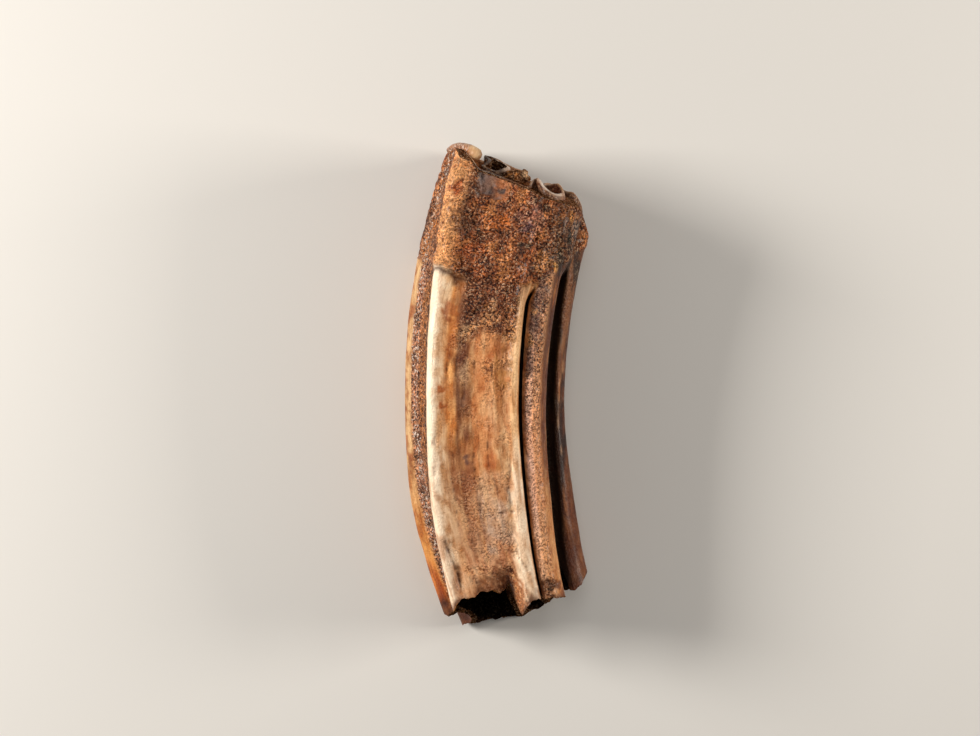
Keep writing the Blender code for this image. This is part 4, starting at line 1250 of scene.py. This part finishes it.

# %% [markdown]
# Single marks, such as rust blotches, are what makes this fossil this one, and a few of them are
# painted shade in folds, crevices and holes or under the bead, or painted highlights. They
# could be painted by hand on an image, but in a list each can be moved or faded on its own.
# Each has a name, a pigment, a place over the middle of the tooth, half sizes in millimetres and a
# strength.

# %% Single spots, some of them painted shade or painted highlights
SPOTS = [
    ("facet_blot", (62, 58, 62), (3.1, 32.4), (0.7, 0.6), 0.9),
    ("orange_patch", ORANGE, (2.4, 27.3), (2.0, 1.2), 0.9),
    ("rust_patch", RUST, (-4.6, 32.8), (1.3, 1.2), 0.9),
    ("low_rust_patch", RUST, (-2.2, 22.5), (2.2, 1.2), 0.8),
    ("pink_patch", (160, 106, 90), (7.9, 27.6), (2.6, 2.8), 0.80),
    ("plum_patch", (92, 66, 76), (7.2, 26.2), (1.3, 0.8), 0.85),
    ("dark_hollow", UMBER, (10.4, 29.6), (0.9, 0.7), 0.90),
    ("dark_patch", UMBER, (-3.4, 27.6), (2.6, 3.0), 0.50),
    # Painted shade along the lower edge of a dip in the crust.
    ("dark_fold", BLACK, (6.4, 23.3), (1.6, 0.35), 0.75),
    ("orange_lump", (190, 128, 76), (9.8, 20.6), (1.5, 1.9), 0.90),
    ("dark_shoulder", (84, 44, 20), (13.0, 24.4), (1.7, 3.4), 0.85),
    # Painted shadow beside the raised lump of the crust.
    ("dark_side", BLACK, (12.6, 20.8), (0.7, 2.4), 0.75),
    # Two streaks of painted highlight on the crust.
    ("golden_streak", (226, 160, 86), (14.6, 28.0), (0.25, 1.0), 0.85),
    ("golden_streak_low", (214, 156, 84), (11.9, 19.8), (0.4, 0.8), 0.90),
    ("protocone_patch", SLATE, (15.5, 26.0), (0.7, 1.8), 0.95),
    # Painted shade for a crevice that is not carved.
    ("protocone_crevice", BLACK, (14.3, 24.6), (0.35, 1.6), 0.95),
    ("flute_slate", (120, 90, 88), (-8.0, 31.3), (0.8, 1.0), 0.85),
    ("flute_slate_low", (120, 90, 88), (-9.7, 20.0), (0.7, 2.6), 0.70),
    ("flute_orange", (206, 126, 58), (-8.3, 27.4), (0.6, 0.9), 0.80),
    # Painted shadow under the cheek bead.
    ("under_bead", BLACK, (-2.1, 37.6), (1.5, 0.45), 0.95),
    ("rust_blotch", (166, 90, 42), (-5.6, 12.4), (1.3, 1.8), 0.80),
    ("rust_blotch_low", (170, 96, 46), (-5.4, 6.8), (1.0, 1.8), 0.70),
    ("rust_speck", (186, 104, 40), (-7.2, -0.6), (0.8, 0.7), 0.90),
    ("rust_speck_low", (186, 104, 40), (-7.0, -3.2), (0.8, 0.6), 0.90),
    ("red_speck", (180, 104, 50), (3.9, 1.2), (0.55, 0.5), 0.60),
    ("pale_fleck", CREAM, (4.2, 5.0), (0.5, 1.0), 0.45),
    ("cord_clot", (200, 152, 108), (8.4, 12.4), (0.7, 0.6), 0.80),
    ("cord_clot_low", (206, 154, 104), (7.5, 7.6), (0.7, 1.1), 0.80),
    ("orange_middle", ORANGE, (1.0, -12.4), (1.2, 1.6), 0.45),
    ("brown_middle", (140, 84, 56), (-2.6, -15.2), (1.2, 3.0), 0.70),
    ("plum_dot", (96, 66, 60), (-3.1, -12.4), (0.6, 0.9), 0.85),
    ("chip_dot", BROWN, (-8.4, -9.5), (0.4, 0.6), 0.85),
    ("crest_dot", (150, 84, 40), (-8.4, -14.2), (0.3, 1.0), 0.85),
    # A streak of painted highlight on the crest.
    ("white_crest", IVORY, (-8.1, -12.0), (0.8, 5.0), 0.60),
    ("white_notch", IVORY, (4.6, -19.6), (0.9, 2.2), 0.80),
    ("ashen_notch", (196, 164, 140), (4.0, -25.0), (1.6, 2.0), 0.70),
    ("brown_root", (134, 80, 46), (3.2, -31.6), (1.6, 2.6), 0.80),
    ("brown_notch", (104, 62, 36), (1.6, -33.0), (2.6, 1.8), 0.75),
    ("crest_shadow", (132, 82, 52), (-4.2, -31.8), (0.5, 1.8), 0.45),
    ("hypocone_foot", (112, 66, 38), (11.0, -33.4), (2.2, 1.1), 0.85),
    ("spur", (166, 100, 54), (5.6, -35.2), (1.8, 2.6), 0.85),
    ("spur_left", (128, 74, 42), (4.2, -33.2), (0.9, 2.6), 0.80),
    # Painted shade for a hole that is not carved.
    ("hypocone_hole", BLACK, (10.9, -34.5), (0.9, 0.5), 0.90),
]
print(len(SPOTS), "spots")

# %% [markdown]
# Now the layers are put together: the stained column, the crust over it with a shadow under its
# edge, the rubbed facet, the spots with frayed edges, the dirt in the cracks, and the bruised brown
# margin of the break. The order is that in which they came to the tooth, since what came later
# covers what was there.

# %% Lay the paints over each other
SPOT_EDGE, SPOT_FRAY = (0.20, 0.60), 1.3
LEDGE_AT, LEDGE_WIDE = -0.1, 0.45       # the shadow under the crust's edge
CRACK_FROM = (0.04, 0.11)               # millimetres of depth from which a crack holds dirt

skin_paint = column
skin_paint += (crust - column) * np.maximum(crusted, rubbed)[:, None]
ledge = np.exp(-((over_edge - LEDGE_AT) / LEDGE_WIDE) ** 2)
wash(skin_paint, UMBER, 0.9 * ledge * band(place, 4.8, 8.4, 0.4) + 0.3 * ledge * ridge)
skin_paint += (rub - skin_paint) * polished[:, None]
for name, colour, at, half, strength in SPOTS:
    frayed = smooth(*SPOT_EDGE, spot(x, y, at, half) * (1.0 + SPOT_FRAY * fine))
    wash(skin_paint, colour, strength * frayed * upper)
cracked = smooth(*CRACK_FROM, cut_along(CRACKS, x, y, z)) * smooth(-0.25, 0.30, fine + 0.6 * middle)
wash(skin_paint, (84, 50, 32), 0.75 * cracked)
from_break = y - broken(x, z) + 1.6 * middle
wash(skin_paint, (124, 74, 42), 0.75 * smooth(1.8, 0.2, from_break))
wash(skin_paint, UMBER, 0.6 * smooth(0.7, 0.0, from_break))
print("points with dirt in a crack:", covered(cracked))

# %% [markdown]
# The cut surfaces have colours of their own: brown dentine on the chewing end, a tan rim round
# the brown broken wall, whose lower part is painted in shade, and hollows with painted shade
# that deepens inside them.
# The colours are kept for each corner of a face, so two finishes can meet in a crisp line.

# %% Stain the chewing surface, the break and the hollows, and paint shade on the break and in the hollows
table = ground((78, 46, 27))
in_dentine = smooth(0.0, 0.5, reach_inside(DENTINE, x, z))
wash(table, (104, 62, 38), in_dentine)
wash(table, (168, 112, 70), 0.6 * smooth(0.15, 0.45, fine + 0.3 * middle))
wash(table, UMBER, 0.75 * smooth(-0.1, 0.35, middle + 0.5 * fine))
wash(table, (120, 60, 40), 0.7 * spot(x, z, (12.4, 20.0), (1.8, 2.0)))
break_paint = ground((132, 80, 44))
wash(break_paint, UMBER, 0.7 * smooth(-0.1, 0.35, middle + 0.5 * fine))
wash(break_paint, GOLD, 0.6 * smooth(0.1, 0.4, -fine))
wash(break_paint, TAN, 0.6 * smooth(0.7, 0.3, under) * smooth(0.1, 0.3, fine + 0.3))
# Painted shade on the lower part of the break, near the floor.
wash(break_paint, (44, 24, 15), 0.90 * smooth(0.6, 0.3, z / DEPTH))
stub = (y > 0.0) * 1.0
wash(break_paint, (92, 62, 44), 0.85 * stub * smooth(-0.35, 0.10, fine + 0.4 * middle))
wash(break_paint, (206, 176, 142), 0.90 * stub * spot(x, y, (6.9, 35.3), (0.6, 0.6)))
hollow = ground(UMBER)
wash(hollow, BROWN, 0.4 * smooth(0.0, 0.4, middle))
# Painted shade deeper inside the hollows.
wash(hollow, BLACK, smooth(-43.5, -40.0, y))
lake = 0.6 * ground(UMBER)
print("points in the dentine:", covered(in_dentine))

# %% [markdown]
# The enamel walls are brown on their sides and pale on their worn tops, with silvery painted
# highlights on two stretches. Left of the distal lake they are nearly black. The bead is tan with
# a cream end, and its cheek side is caked with the same cement as the crust. A worn top is found
# by its height over the worn slope, so the pale line stays on the wall if a fold is moved.

# %% Stain the enamel folds and the bead, with painted highlights on two worn tops
enamel = ground((104, 66, 42))
wash(enamel, UMBER, 0.7 * smooth(-0.1, 0.3, middle + 0.4 * fine))
wash(enamel, (130, 66, 38), 0.8 * spot(x, z, (12.4, 19.0), (3.0, 2.4)) * smooth(0.3, -0.1, fine))
wall_top = wall_height(x, z, ENAMEL_PROUD)
crest = smooth(-0.32, -0.08, y - worn(x, z) - wall_top) * smooth(0.25, 0.70, wall_top)
wash(enamel, (180, 140, 102), 0.8 * crest)
# Silvery painted highlights on two stretches of the worn tops.
wash(enamel, (224, 220, 214), 0.90 * crest * spot(x, z, (10.2, 22.6), (2.8, 1.4)))
wash(enamel, (214, 206, 196), 0.8 * crest * spot(x, z, (2.4, 16.5), (2.6, 3.5)))
wash(enamel, (200, 150, 98), 0.85 * crest * spot(x, z, (12.6, 17.4), (1.8, 1.8)))

near_side = smooth(3.8, 2.8, x) * smooth(15.4, 16.4, z)
cheek_end = smooth(2.4, 1.6, x) * smooth(2.0, 3.5, z) * smooth(22.6, 22.0, z)
blackened = np.maximum(near_side, cheek_end) * smooth(-2.4, -1.8, x)
wash(enamel, (64, 40, 26), 0.94 * blackened)

bead_line = [(row[0], row[2]) for row in BEAD]
bead = smooth(1.5, 1.1, from_line(x, z, bead_line)) * smooth(36.8, 37.4, y) * smooth(-0.1, -0.9, x)
wash(enamel, (206, 164, 118), 0.9 * bead)
wash(enamel, (156, 100, 52), 0.5 * bead * smooth(0.0, 0.4, middle + 0.6 * fine))
caked = smooth(41.5, 40.9, y + 0.9 * middle + 0.5 * fine) * smooth(-2.0, -3.0, x + 0.6 * middle)
wash(enamel, (120, 70, 40), 0.92 * bead * caked)
cream_end = spot(x, z, (-1.3, 22.4), (1.1, 1.4)) * smooth(-0.5, 0.1, -fine)
wash(enamel, (228, 202, 166), 0.85 * bead * cream_end)
print("points on worn enamel:", covered(crest), "and on the bead:", covered(bead))

# %% [markdown]
# Beside its colour, each point says how granular it is, how glossy, and how fibrous, which is how
# much of the enamel's long threads show. The crest and the ridge are worn so smooth that hardly
# any thread is left on them. With three such numbers one shader can serve the whole tooth, and
# there are no edges between materials where cement thins out into enamel.

# %% Grit, gloss and fibre
skin_grit = grit_of(place, y, np.maximum(crusted, rubbed), lumps(straight, GRIT_SIZE, GRIT_SEED))
skin_grit *= 1.0 - 0.75 * polished
skin_grit *= 1.0 - 0.35 * band(place, 5.0, 7.4, 0.4) * crusted
skin_grit *= 1.0 - 0.8 * spot(x, y, (4.9, -19.8), (1.3, 3.6)) * upper
skin_grit = np.maximum(skin_grit, 0.3 * protocone * smooth(2.0, 14.0, y))
skin_gloss = np.maximum.reduce([
    0.32 * crusted, 0.4 * polished, 0.3 * protocone, 0.5 * rib, 0.8 * cord, 0.4 * ridge,
    (0.15 + 0.4 * smooth(-4.0, 10.0, y)) * lobe, 0.3 * smooth_lobe])
skin_fibre = 1.0 - 0.8 * np.maximum.reduce([band(place, *CREST_EDGE, 0.4), 0.7 * ridge, 0.6 * polished])

enamel_grit = 0.65 * (1.0 - np.maximum(crest, bead * (1.0 - caked)))
enamel_gloss = np.maximum(crest, bead) * (1.0 - blackened)

# Name of the finish, its colours, and how granular, how glossy and how fibrous it is.
CORNERS = [
    ("skin", skin_paint, skin_grit, skin_gloss, skin_fibre),
    ("chewing_surface", table, 0.85 - 0.45 * in_dentine, 0.1, 0.5),
    ("enamel", enamel, enamel_grit, enamel_gloss, 0.7),
    ("lake", lake, 0.8, 0.1, 0.1),
    ("broken", break_paint, 0.8, 0.3, 0.7),
    ("pulp_hollow", hollow, 0.12, 0.1, 0.5),
]
print("the skin's grit is", round(float(skin_grit.mean()), 2), "on average")

# %% [markdown]
# All of it is stored in the mesh as attributes. An attribute travels with the mesh, needs no UV
# map and has no seam. The grain attribute is the point's place with the bend taken out.

# %% Store the stains in the mesh
corner_point = values_of(carved, "loops", "vertex_index", 1).astype(int)
face_finish = values_of(carved, "polygons", "material_index", 1).astype(int)
corner_finish = np.repeat(face_finish, values_of(carved, "polygons", "loop_total", 1).astype(int))
stains = np.ones((len(corner_point), 4))
grits = np.zeros(len(corner_point))
glosses = np.zeros(len(corner_point))
fibres = np.zeros(len(corner_point))
for finish, paint, gritty, glossy, fibrous in CORNERS:
    here = corner_finish == FINISHES.index(finish)
    at = corner_point[here]
    stains[here, :3] = paint[at]
    grits[here] = np.broadcast_to(gritty, len(points))[at]
    glosses[here] = np.broadcast_to(glossy, len(points))[at]
    fibres[here] = np.broadcast_to(fibrous, len(points))[at]
    print(finish, "covers", int(here.sum() / 3), "triangles")

carved.attributes.new("stain", "FLOAT_COLOR", "CORNER").data.foreach_set("color", stains.ravel())
carved.attributes.new("grit", "FLOAT", "CORNER").data.foreach_set("value", grits)
carved.attributes.new("gloss", "FLOAT", "CORNER").data.foreach_set("value", glosses)
carved.attributes.new("fibre", "FLOAT", "CORNER").data.foreach_set("value", fibres)
grain = carved.attributes.new("grain", "FLOAT_VECTOR", "POINT")
grain.data.foreach_set("vector", (straight * MM).ravel())

# %% [markdown]
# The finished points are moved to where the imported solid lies, with the middle of the underside
# at the origin. Wherever lumps would reach past the solid's box, that side is drawn in a little,
# because the looks may not change the size.

# %% Set the tooth in its place
MIDDLE = (2.495, -0.142)    # over the middle of the underside, as the sections are drawn

placed = points * MM - np.array([MIDDLE[0] * MM, MIDDLE[1] * MM, 0.0])
for axis, low, high in zip(range(3), solid_low, solid_high):
    for limit, far in ((low, placed[:, axis].min()), (high, placed[:, axis].max())):
        if abs(limit) > MM and abs(far) > abs(limit):
            beyond = placed[:, axis] * limit > 0.0
            placed[beyond, axis] *= limit / far
            print("drew in", "xyz"[axis], "by", round(abs(far - limit) / MM, 2), "mm")
carved.vertices.foreach_set("co", placed.ravel())
carved.update()

# %% [markdown]
# One shader serves all the finishes, because they are the same fossil with more or less grit and
# gloss. Its patterns are noise measured in millimetres and spread out to run from 0 to 1.
# A few helpers that add a node in one line keep the shader short enough to read.

# %% Small helpers for shader nodes
def add(tree, kind, inputs, **settings):
    """A node with these settings. Its inputs are numbers, colours or other nodes' outputs."""
    made = tree.nodes.new(kind)
    for key, value in settings.items():
        setattr(made, key, value)
    for key, value in inputs.items():
        if isinstance(value, bpy.types.NodeSocket):
            tree.links.new(value, made.inputs[key])
        else:
            made.inputs[key].default_value = value
    return made.outputs


def calc(tree, operation, first, second):
    """A Math node."""
    return add(tree, "ShaderNodeMath", {0: first, 1: second}, operation=operation)[0]


def between(tree, share, first, second):
    """A value between two others."""
    return add(tree, "ShaderNodeMix", {0: share, 2: first, 3: second}, data_type="FLOAT")[0]


def mixed(tree, share, first, second, way="MIX"):
    """Two colours mixed, or one laid over the other in another way."""
    return add(
        tree, "ShaderNodeMix", {0: share, 6: first, 7: second}, data_type="RGBA", blend_type=way)[2]


def tone(tree, stain, tint):
    """The stain made deeper or brighter."""
    return mixed(tree, 1.0, stain, tint, "MULTIPLY")


def ranged(tree, value, low, high):
    """A value spread out, so that it is 0 at low and 1 at high."""
    return add(tree, "ShaderNodeMapRange", {"Value": value, "From Min": low, "From Max": high})[0]


def blotches(tree, where, width, low=0.36, high=0.64, detail=3.0):
    """Noise with blotches of this width in millimetres, spread out from 0 to 1."""
    noise_value = add(
        tree, "ShaderNodeTexNoise", {"Vector": where, "Scale": 1.0 / (width * MM), "Detail": detail})[0]
    return ranged(tree, noise_value, low, high)


print("seven helpers")

# %% [markdown]
# Granular cement swings between painted shade in its pores and painted highlights on its grains,
# both tones of its stain, with thin golden curls and single sparks of painted highlight, and pale
# painted glints where it is glossy. The tones multiply the stain instead of replacing it, so the
# same grains suit a pale rib and a dark groove.

# %% Colour of granular cement
# Painted shade in the pores, painted highlights on the grains, sparks and curls of painted highlight, and
# painted glints on glossy grains.
PORE_SHADE = (0.20, 0.12, 0.09, 1.0)          # tone of the stain in its pores
GRAIN_HIGHLIGHT = (2.15, 1.84, 1.60, 1.0)        # and on its grains
GOLDEN_HIGHLIGHT, GOLDEN_HIGHLIGHT_SHARE = (0.82, 0.46, 0.21, 1.0), 0.20    # colour that the palest grains lean to
HIGHLIGHT_SPARK, HIGHLIGHT_SPARK_SHARE = (1.00, 0.72, 0.46, 1.0), 0.50      # and the one of single sparks
PAINTED_GLINT = (0.82, 0.64, 0.54, 1.0)         # pale flecks on glossy grains
HIGHLIGHT_SPARK_WIDE, PAINTED_GLINT_WIDE, HIGHLIGHT_CURL_WIDE = 0.36, 0.48, 0.48
PLAIN = 1.0                 # detail of noise whose blotches have clean edges
NOISE_MIDDLE = 0.5          # value along which noise draws thin winding lines

# Between which values of its noise each kind of grain sets in.
GRAIN_HIGHLIGHT_FROM, PORE_SHADE_FROM, GRAINY_FROM = (0.58, 0.86), (0.40, 0.13), (0.45, 0.75)
HIGHLIGHT_SPARK_FROM, PAINTED_GLINT_FROM, HIGHLIGHT_CURL_THIN = (0.57, 0.63), (0.58, 0.62), (0.03, 0.006)
GLOSSY_FROM = (0.50, 0.80)
LEAST_LIVELY = 0.35         # strength of the bright grains between the mottles
GRAIN_SHARE = 0.25          # share of the coarse grains in what is deep


def granular_colour(tree, stain, where, gloss, specks, grains, mottles):
    """Colour of granular cement with this stain, with painted shade in its pores and painted highlights on
    its grains.
    """
    highlight_curls = add(tree, "ShaderNodeTexNoise", {"Vector": where, "Scale": 1.0 / (HIGHLIGHT_CURL_WIDE * MM)})[0]
    highlight_curls = calc(tree, "ABSOLUTE", calc(tree, "SUBTRACT", highlight_curls, NOISE_MIDDLE), 0.0)
    highlight_curls = calc(tree, "MULTIPLY", ranged(tree, highlight_curls, *HIGHLIGHT_CURL_THIN), ranged(tree, grains, *GRAINY_FROM))
    lively = between(tree, mottles, LEAST_LIVELY, 1.0)
    grain_highlights = calc(tree, "MAXIMUM", ranged(tree, specks, *GRAIN_HIGHLIGHT_FROM), highlight_curls)
    grain_highlights = calc(tree, "MULTIPLY", grain_highlights, lively)
    # Painted shade in the pores, where the grains are low.
    deep = ranged(tree, between(tree, GRAIN_SHARE, specks, grains), *PORE_SHADE_FROM)
    highlight_sparks = blotches(tree, where, HIGHLIGHT_SPARK_WIDE, *HIGHLIGHT_SPARK_FROM, detail=PLAIN)
    highlight_sparks = calc(tree, "MULTIPLY", highlight_sparks, lively)
    painted_glints = blotches(tree, where, PAINTED_GLINT_WIDE, *PAINTED_GLINT_FROM, detail=PLAIN)
    painted_glints = calc(tree, "MULTIPLY", painted_glints, ranged(tree, gloss, *GLOSSY_FROM))

    lit = tone(tree, stain, GRAIN_HIGHLIGHT)
    colour = mixed(tree, deep, stain, tone(tree, stain, PORE_SHADE))
    colour = mixed(tree, grain_highlights, colour, mixed(tree, GOLDEN_HIGHLIGHT_SHARE, lit, GOLDEN_HIGHLIGHT))
    colour = mixed(tree, highlight_sparks, colour, mixed(tree, HIGHLIGHT_SPARK_SHARE, lit, HIGHLIGHT_SPARK))
    return mixed(tree, painted_glints, colour, PAINTED_GLINT)


print("sparks are", HIGHLIGHT_SPARK_WIDE, "mm wide")

# %% [markdown]
# Bare enamel is stained in soft mottles and long threads that run with the tooth, with a few
# freckles in its darker mottles. An image of fibres would give such threads too, but it would need
# a UV map and show a seam. Stretched noise needs no map, and the fibre attribute fades it out.

# %% Colour of bare enamel
MOTTLED = (0.76, 0.51, 0.32, 1.0)       # tone of the stain in its mottles
CLEAR = (1.16, 1.15, 1.14, 1.0)         # and between them
THREAD_DEEP, THREAD_SHARE = (0.62, 0.50, 0.42, 1.0), 0.60
FRECKLE, FRECKLE_SHARE, FRECKLE_FROM = (0.52, 0.36, 0.24, 1.0), 0.8, (0.62, 0.90)


def bare_colour(tree, stain, fibre, specks, threads, mottles):
    """Colour of bare enamel with this stain."""
    stained = calc(tree, "MULTIPLY", mottles, fibre)
    colour = mixed(tree, stained, tone(tree, stain, CLEAR), tone(tree, stain, MOTTLED))
    thready = calc(tree, "MULTIPLY", calc(tree, "MULTIPLY", threads, fibre), THREAD_SHARE)
    colour = mixed(tree, thready, colour, tone(tree, colour, THREAD_DEEP))
    freckles = calc(tree, "MULTIPLY", ranged(tree, specks, *FRECKLE_FROM), stained)
    freckles = calc(tree, "MULTIPLY", freckles, FRECKLE_SHARE)
    return mixed(tree, freckles, colour, tone(tree, stain, FRECKLE))


print("threads take", THREAD_SHARE, "of the stain")

# %% [markdown]
# The shader mixes the two colours by grit and darkens the pits with painted shade. The same
# patterns drive the bump, so a speck of painted shade is also a small hole. Noise for threads is
# squeezed along the tooth by a Mapping node, which draws its blotches out. It reads the places
# without the bend, and so follows the bow.

# %% The fossil's shader
GRAIN_WIDE, SPECK_WIDE, THREAD_WIDE, MOTTLE_WIDE = 0.80, 0.38, 0.50, 1.70
SPECK_RANGE, THREAD_RANGE, MOTTLE_RANGE, MOTTLE_DETAIL = (0.42, 0.58), (0.44, 0.62), (0.42, 0.60), 7.0
THREAD_LONG, MOTTLE_LONG = 0.12, 0.45   # share of its height that a pattern keeps, when stretched
PIT_APART, PIT_ROUND, PIT_SHADE_SHARE = 0.55, (0.34, 0.16), 0.25
DULL, SHINY, DULL_GRAINS = 0.46, 0.26, 0.18
BARE_RELIEF = -0.18         # height of the threads beside the grains, below zero as they sink
COAT_ROUGHNESS = 0.20


def tooth_finish(finish, bump_deep, coat, mirror):
    """A finish of the fossil: depth of fine relief in millimetres, coat, and strength of its shine."""
    material = bpy.data.materials[finish]
    material.use_nodes = True
    tree = material.node_tree
    shader = tree.nodes["Principled BSDF"]
    stain = add(tree, "ShaderNodeAttribute", {}, attribute_name="stain")[0]
    grit, gloss, fibre = (
        add(tree, "ShaderNodeAttribute", {}, attribute_name=name)[2] for name in ("grit", "gloss", "fibre"))
    unbent = add(tree, "ShaderNodeAttribute", {}, attribute_name="grain")[1]
    long, mottled = (
        add(tree, "ShaderNodeMapping", {"Vector": unbent, "Scale": (1.0, share, 1.0)})[0]
        for share in (THREAD_LONG, MOTTLE_LONG))
    where = add(tree, "ShaderNodeTexCoord", {})["Object"]

    specks = blotches(tree, where, SPECK_WIDE, *SPECK_RANGE)
    grains = blotches(tree, where, GRAIN_WIDE)
    threads = blotches(tree, long, THREAD_WIDE, *THREAD_RANGE)
    mottles = blotches(tree, mottled, MOTTLE_WIDE, *MOTTLE_RANGE, detail=MOTTLE_DETAIL)
    cells = add(tree, "ShaderNodeTexVoronoi", {"Vector": where, "Scale": 1.0 / (PIT_APART * MM)})[0]
    pits = calc(tree, "MULTIPLY", ranged(tree, cells, *PIT_ROUND), grit)

    cement = granular_colour(tree, stain, where, gloss, specks, grains, mottles)
    bare = bare_colour(tree, stain, fibre, specks, threads, mottles)
    colour = mixed(tree, grit, bare, cement)
    # Painted shade in the pits, matched to their bump.
    colour = mixed(tree, calc(tree, "MULTIPLY", pits, PIT_SHADE_SHARE), colour, tone(tree, stain, PORE_SHADE))
    tree.links.new(colour, shader.inputs["Base Color"])
    dull = calc(tree, "ADD", between(tree, gloss, DULL, SHINY), calc(tree, "MULTIPLY", grains, DULL_GRAINS))
    tree.links.new(dull, shader.inputs["Roughness"])

    rough_height = calc(tree, "SUBTRACT", calc(tree, "ADD", specks, grains), pits)
    bare_height = calc(tree, "MULTIPLY", calc(tree, "ADD", threads, specks), BARE_RELIEF)
    height = between(tree, grit, bare_height, rough_height)
    bump = add(tree, "ShaderNodeBump", {"Height": height, "Distance": bump_deep * MM})[0]
    tree.links.new(bump, shader.inputs["Normal"])
    shader.inputs["Coat Weight"].default_value = coat
    shader.inputs["Specular IOR Level"].default_value = mirror
    shader.inputs["Coat Roughness"].default_value = COAT_ROUGHNESS


# Depth of fine relief in millimetres, clear coat and shine. Cut surfaces but the enamel have no
# shine, or their hollows would look grey.
RELIEF = {
    "skin": (0.32, 0.10, 0.24), "chewing_surface": (0.18, 0.0, 0.0), "enamel": (0.10, 0.10, 0.30),
    "lake": (0.20, 0.0, 0.0), "broken": (0.25, 0.0, 0.0), "pulp_hollow": (0.25, 0.0, 0.0),
}
for finish in FINISHES:
    tooth_finish(finish, *RELIEF[finish])
print(len(FINISHES), "finishes from one shader")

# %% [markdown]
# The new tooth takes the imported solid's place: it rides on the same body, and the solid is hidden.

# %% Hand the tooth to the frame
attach(tooth, "root")
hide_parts("molar")
print("the tooth stands for", [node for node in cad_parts])

# %% [markdown]
# The tooth lies on a plain pale floor, which is one large square.

# %% Floor
FLOOR_HALF = 1.5            # metres
FLOOR_COLOUR, FLOOR_ROUGHNESS = (0.74, 0.73, 0.71, 1.0), 0.85

bm = bmesh.new()
bmesh.ops.create_grid(bm, x_segments=1, y_segments=1, size=FLOOR_HALF)
floor_mesh = bpy.data.meshes.new("floor")
bm.to_mesh(floor_mesh)
bm.free()
floor = bpy.data.objects.new("floor", floor_mesh)
bpy.context.scene.collection.objects.link(floor)
floor_material = bpy.data.materials.new("pale_floor")
floor_material.use_nodes = True
floor_shader = floor_material.node_tree.nodes["Principled BSDF"]
floor_shader.inputs["Base Color"].default_value = FLOOR_COLOUR
floor_shader.inputs["Roughness"].default_value = FLOOR_ROUGHNESS
floor_mesh.materials.append(floor_material)
print("a pale floor", 2 * FLOOR_HALF, "m wide")

# %% [markdown]
# A strong light from the left rakes over the ribs as in the photograph, a weaker one from the
# right picks out their far sides, and one above fills the grooves. Two side lights of one strength
# would cancel each other's shading, and the ribs would look flat.

# %% Lights
# Name, place in metres, size in metres, watts and colour.
LIGHTS = [
    ("left_light", (-0.40, 0.10, 0.23), 0.15, 2.55, (1.0, 0.94, 0.86)),
    ("right_light", (0.40, 0.05, 0.18), 0.13, 1.20, (1.0, 0.92, 0.82)),
    ("top_light", (0.02, 0.22, 0.52), 0.30, 0.45, (1.0, 0.97, 0.93)),
]
SKY, SKY_STRENGTH = (1.0, 0.98, 0.96, 1.0), 0.10

for name, at, size, watts, colour in LIGHTS:
    lamp = bpy.data.lights.new(name, "AREA")
    lamp.size = size
    lamp.energy = watts
    lamp.color = colour
    light = bpy.data.objects.new(name, lamp)
    light.location = at
    light.rotation_euler = (-Vector(at)).to_track_quat("-Z", "Y").to_euler()
    bpy.context.scene.collection.objects.link(light)

world = bpy.data.worlds.new("studio")
world.use_nodes = True
world.node_tree.nodes["Background"].inputs["Color"].default_value = SKY
world.node_tree.nodes["Background"].inputs["Strength"].default_value = SKY_STRENGTH
bpy.context.scene.world = world
bpy.context.scene.view_settings.view_transform = "Standard"
print(len(LIGHTS), "lights")
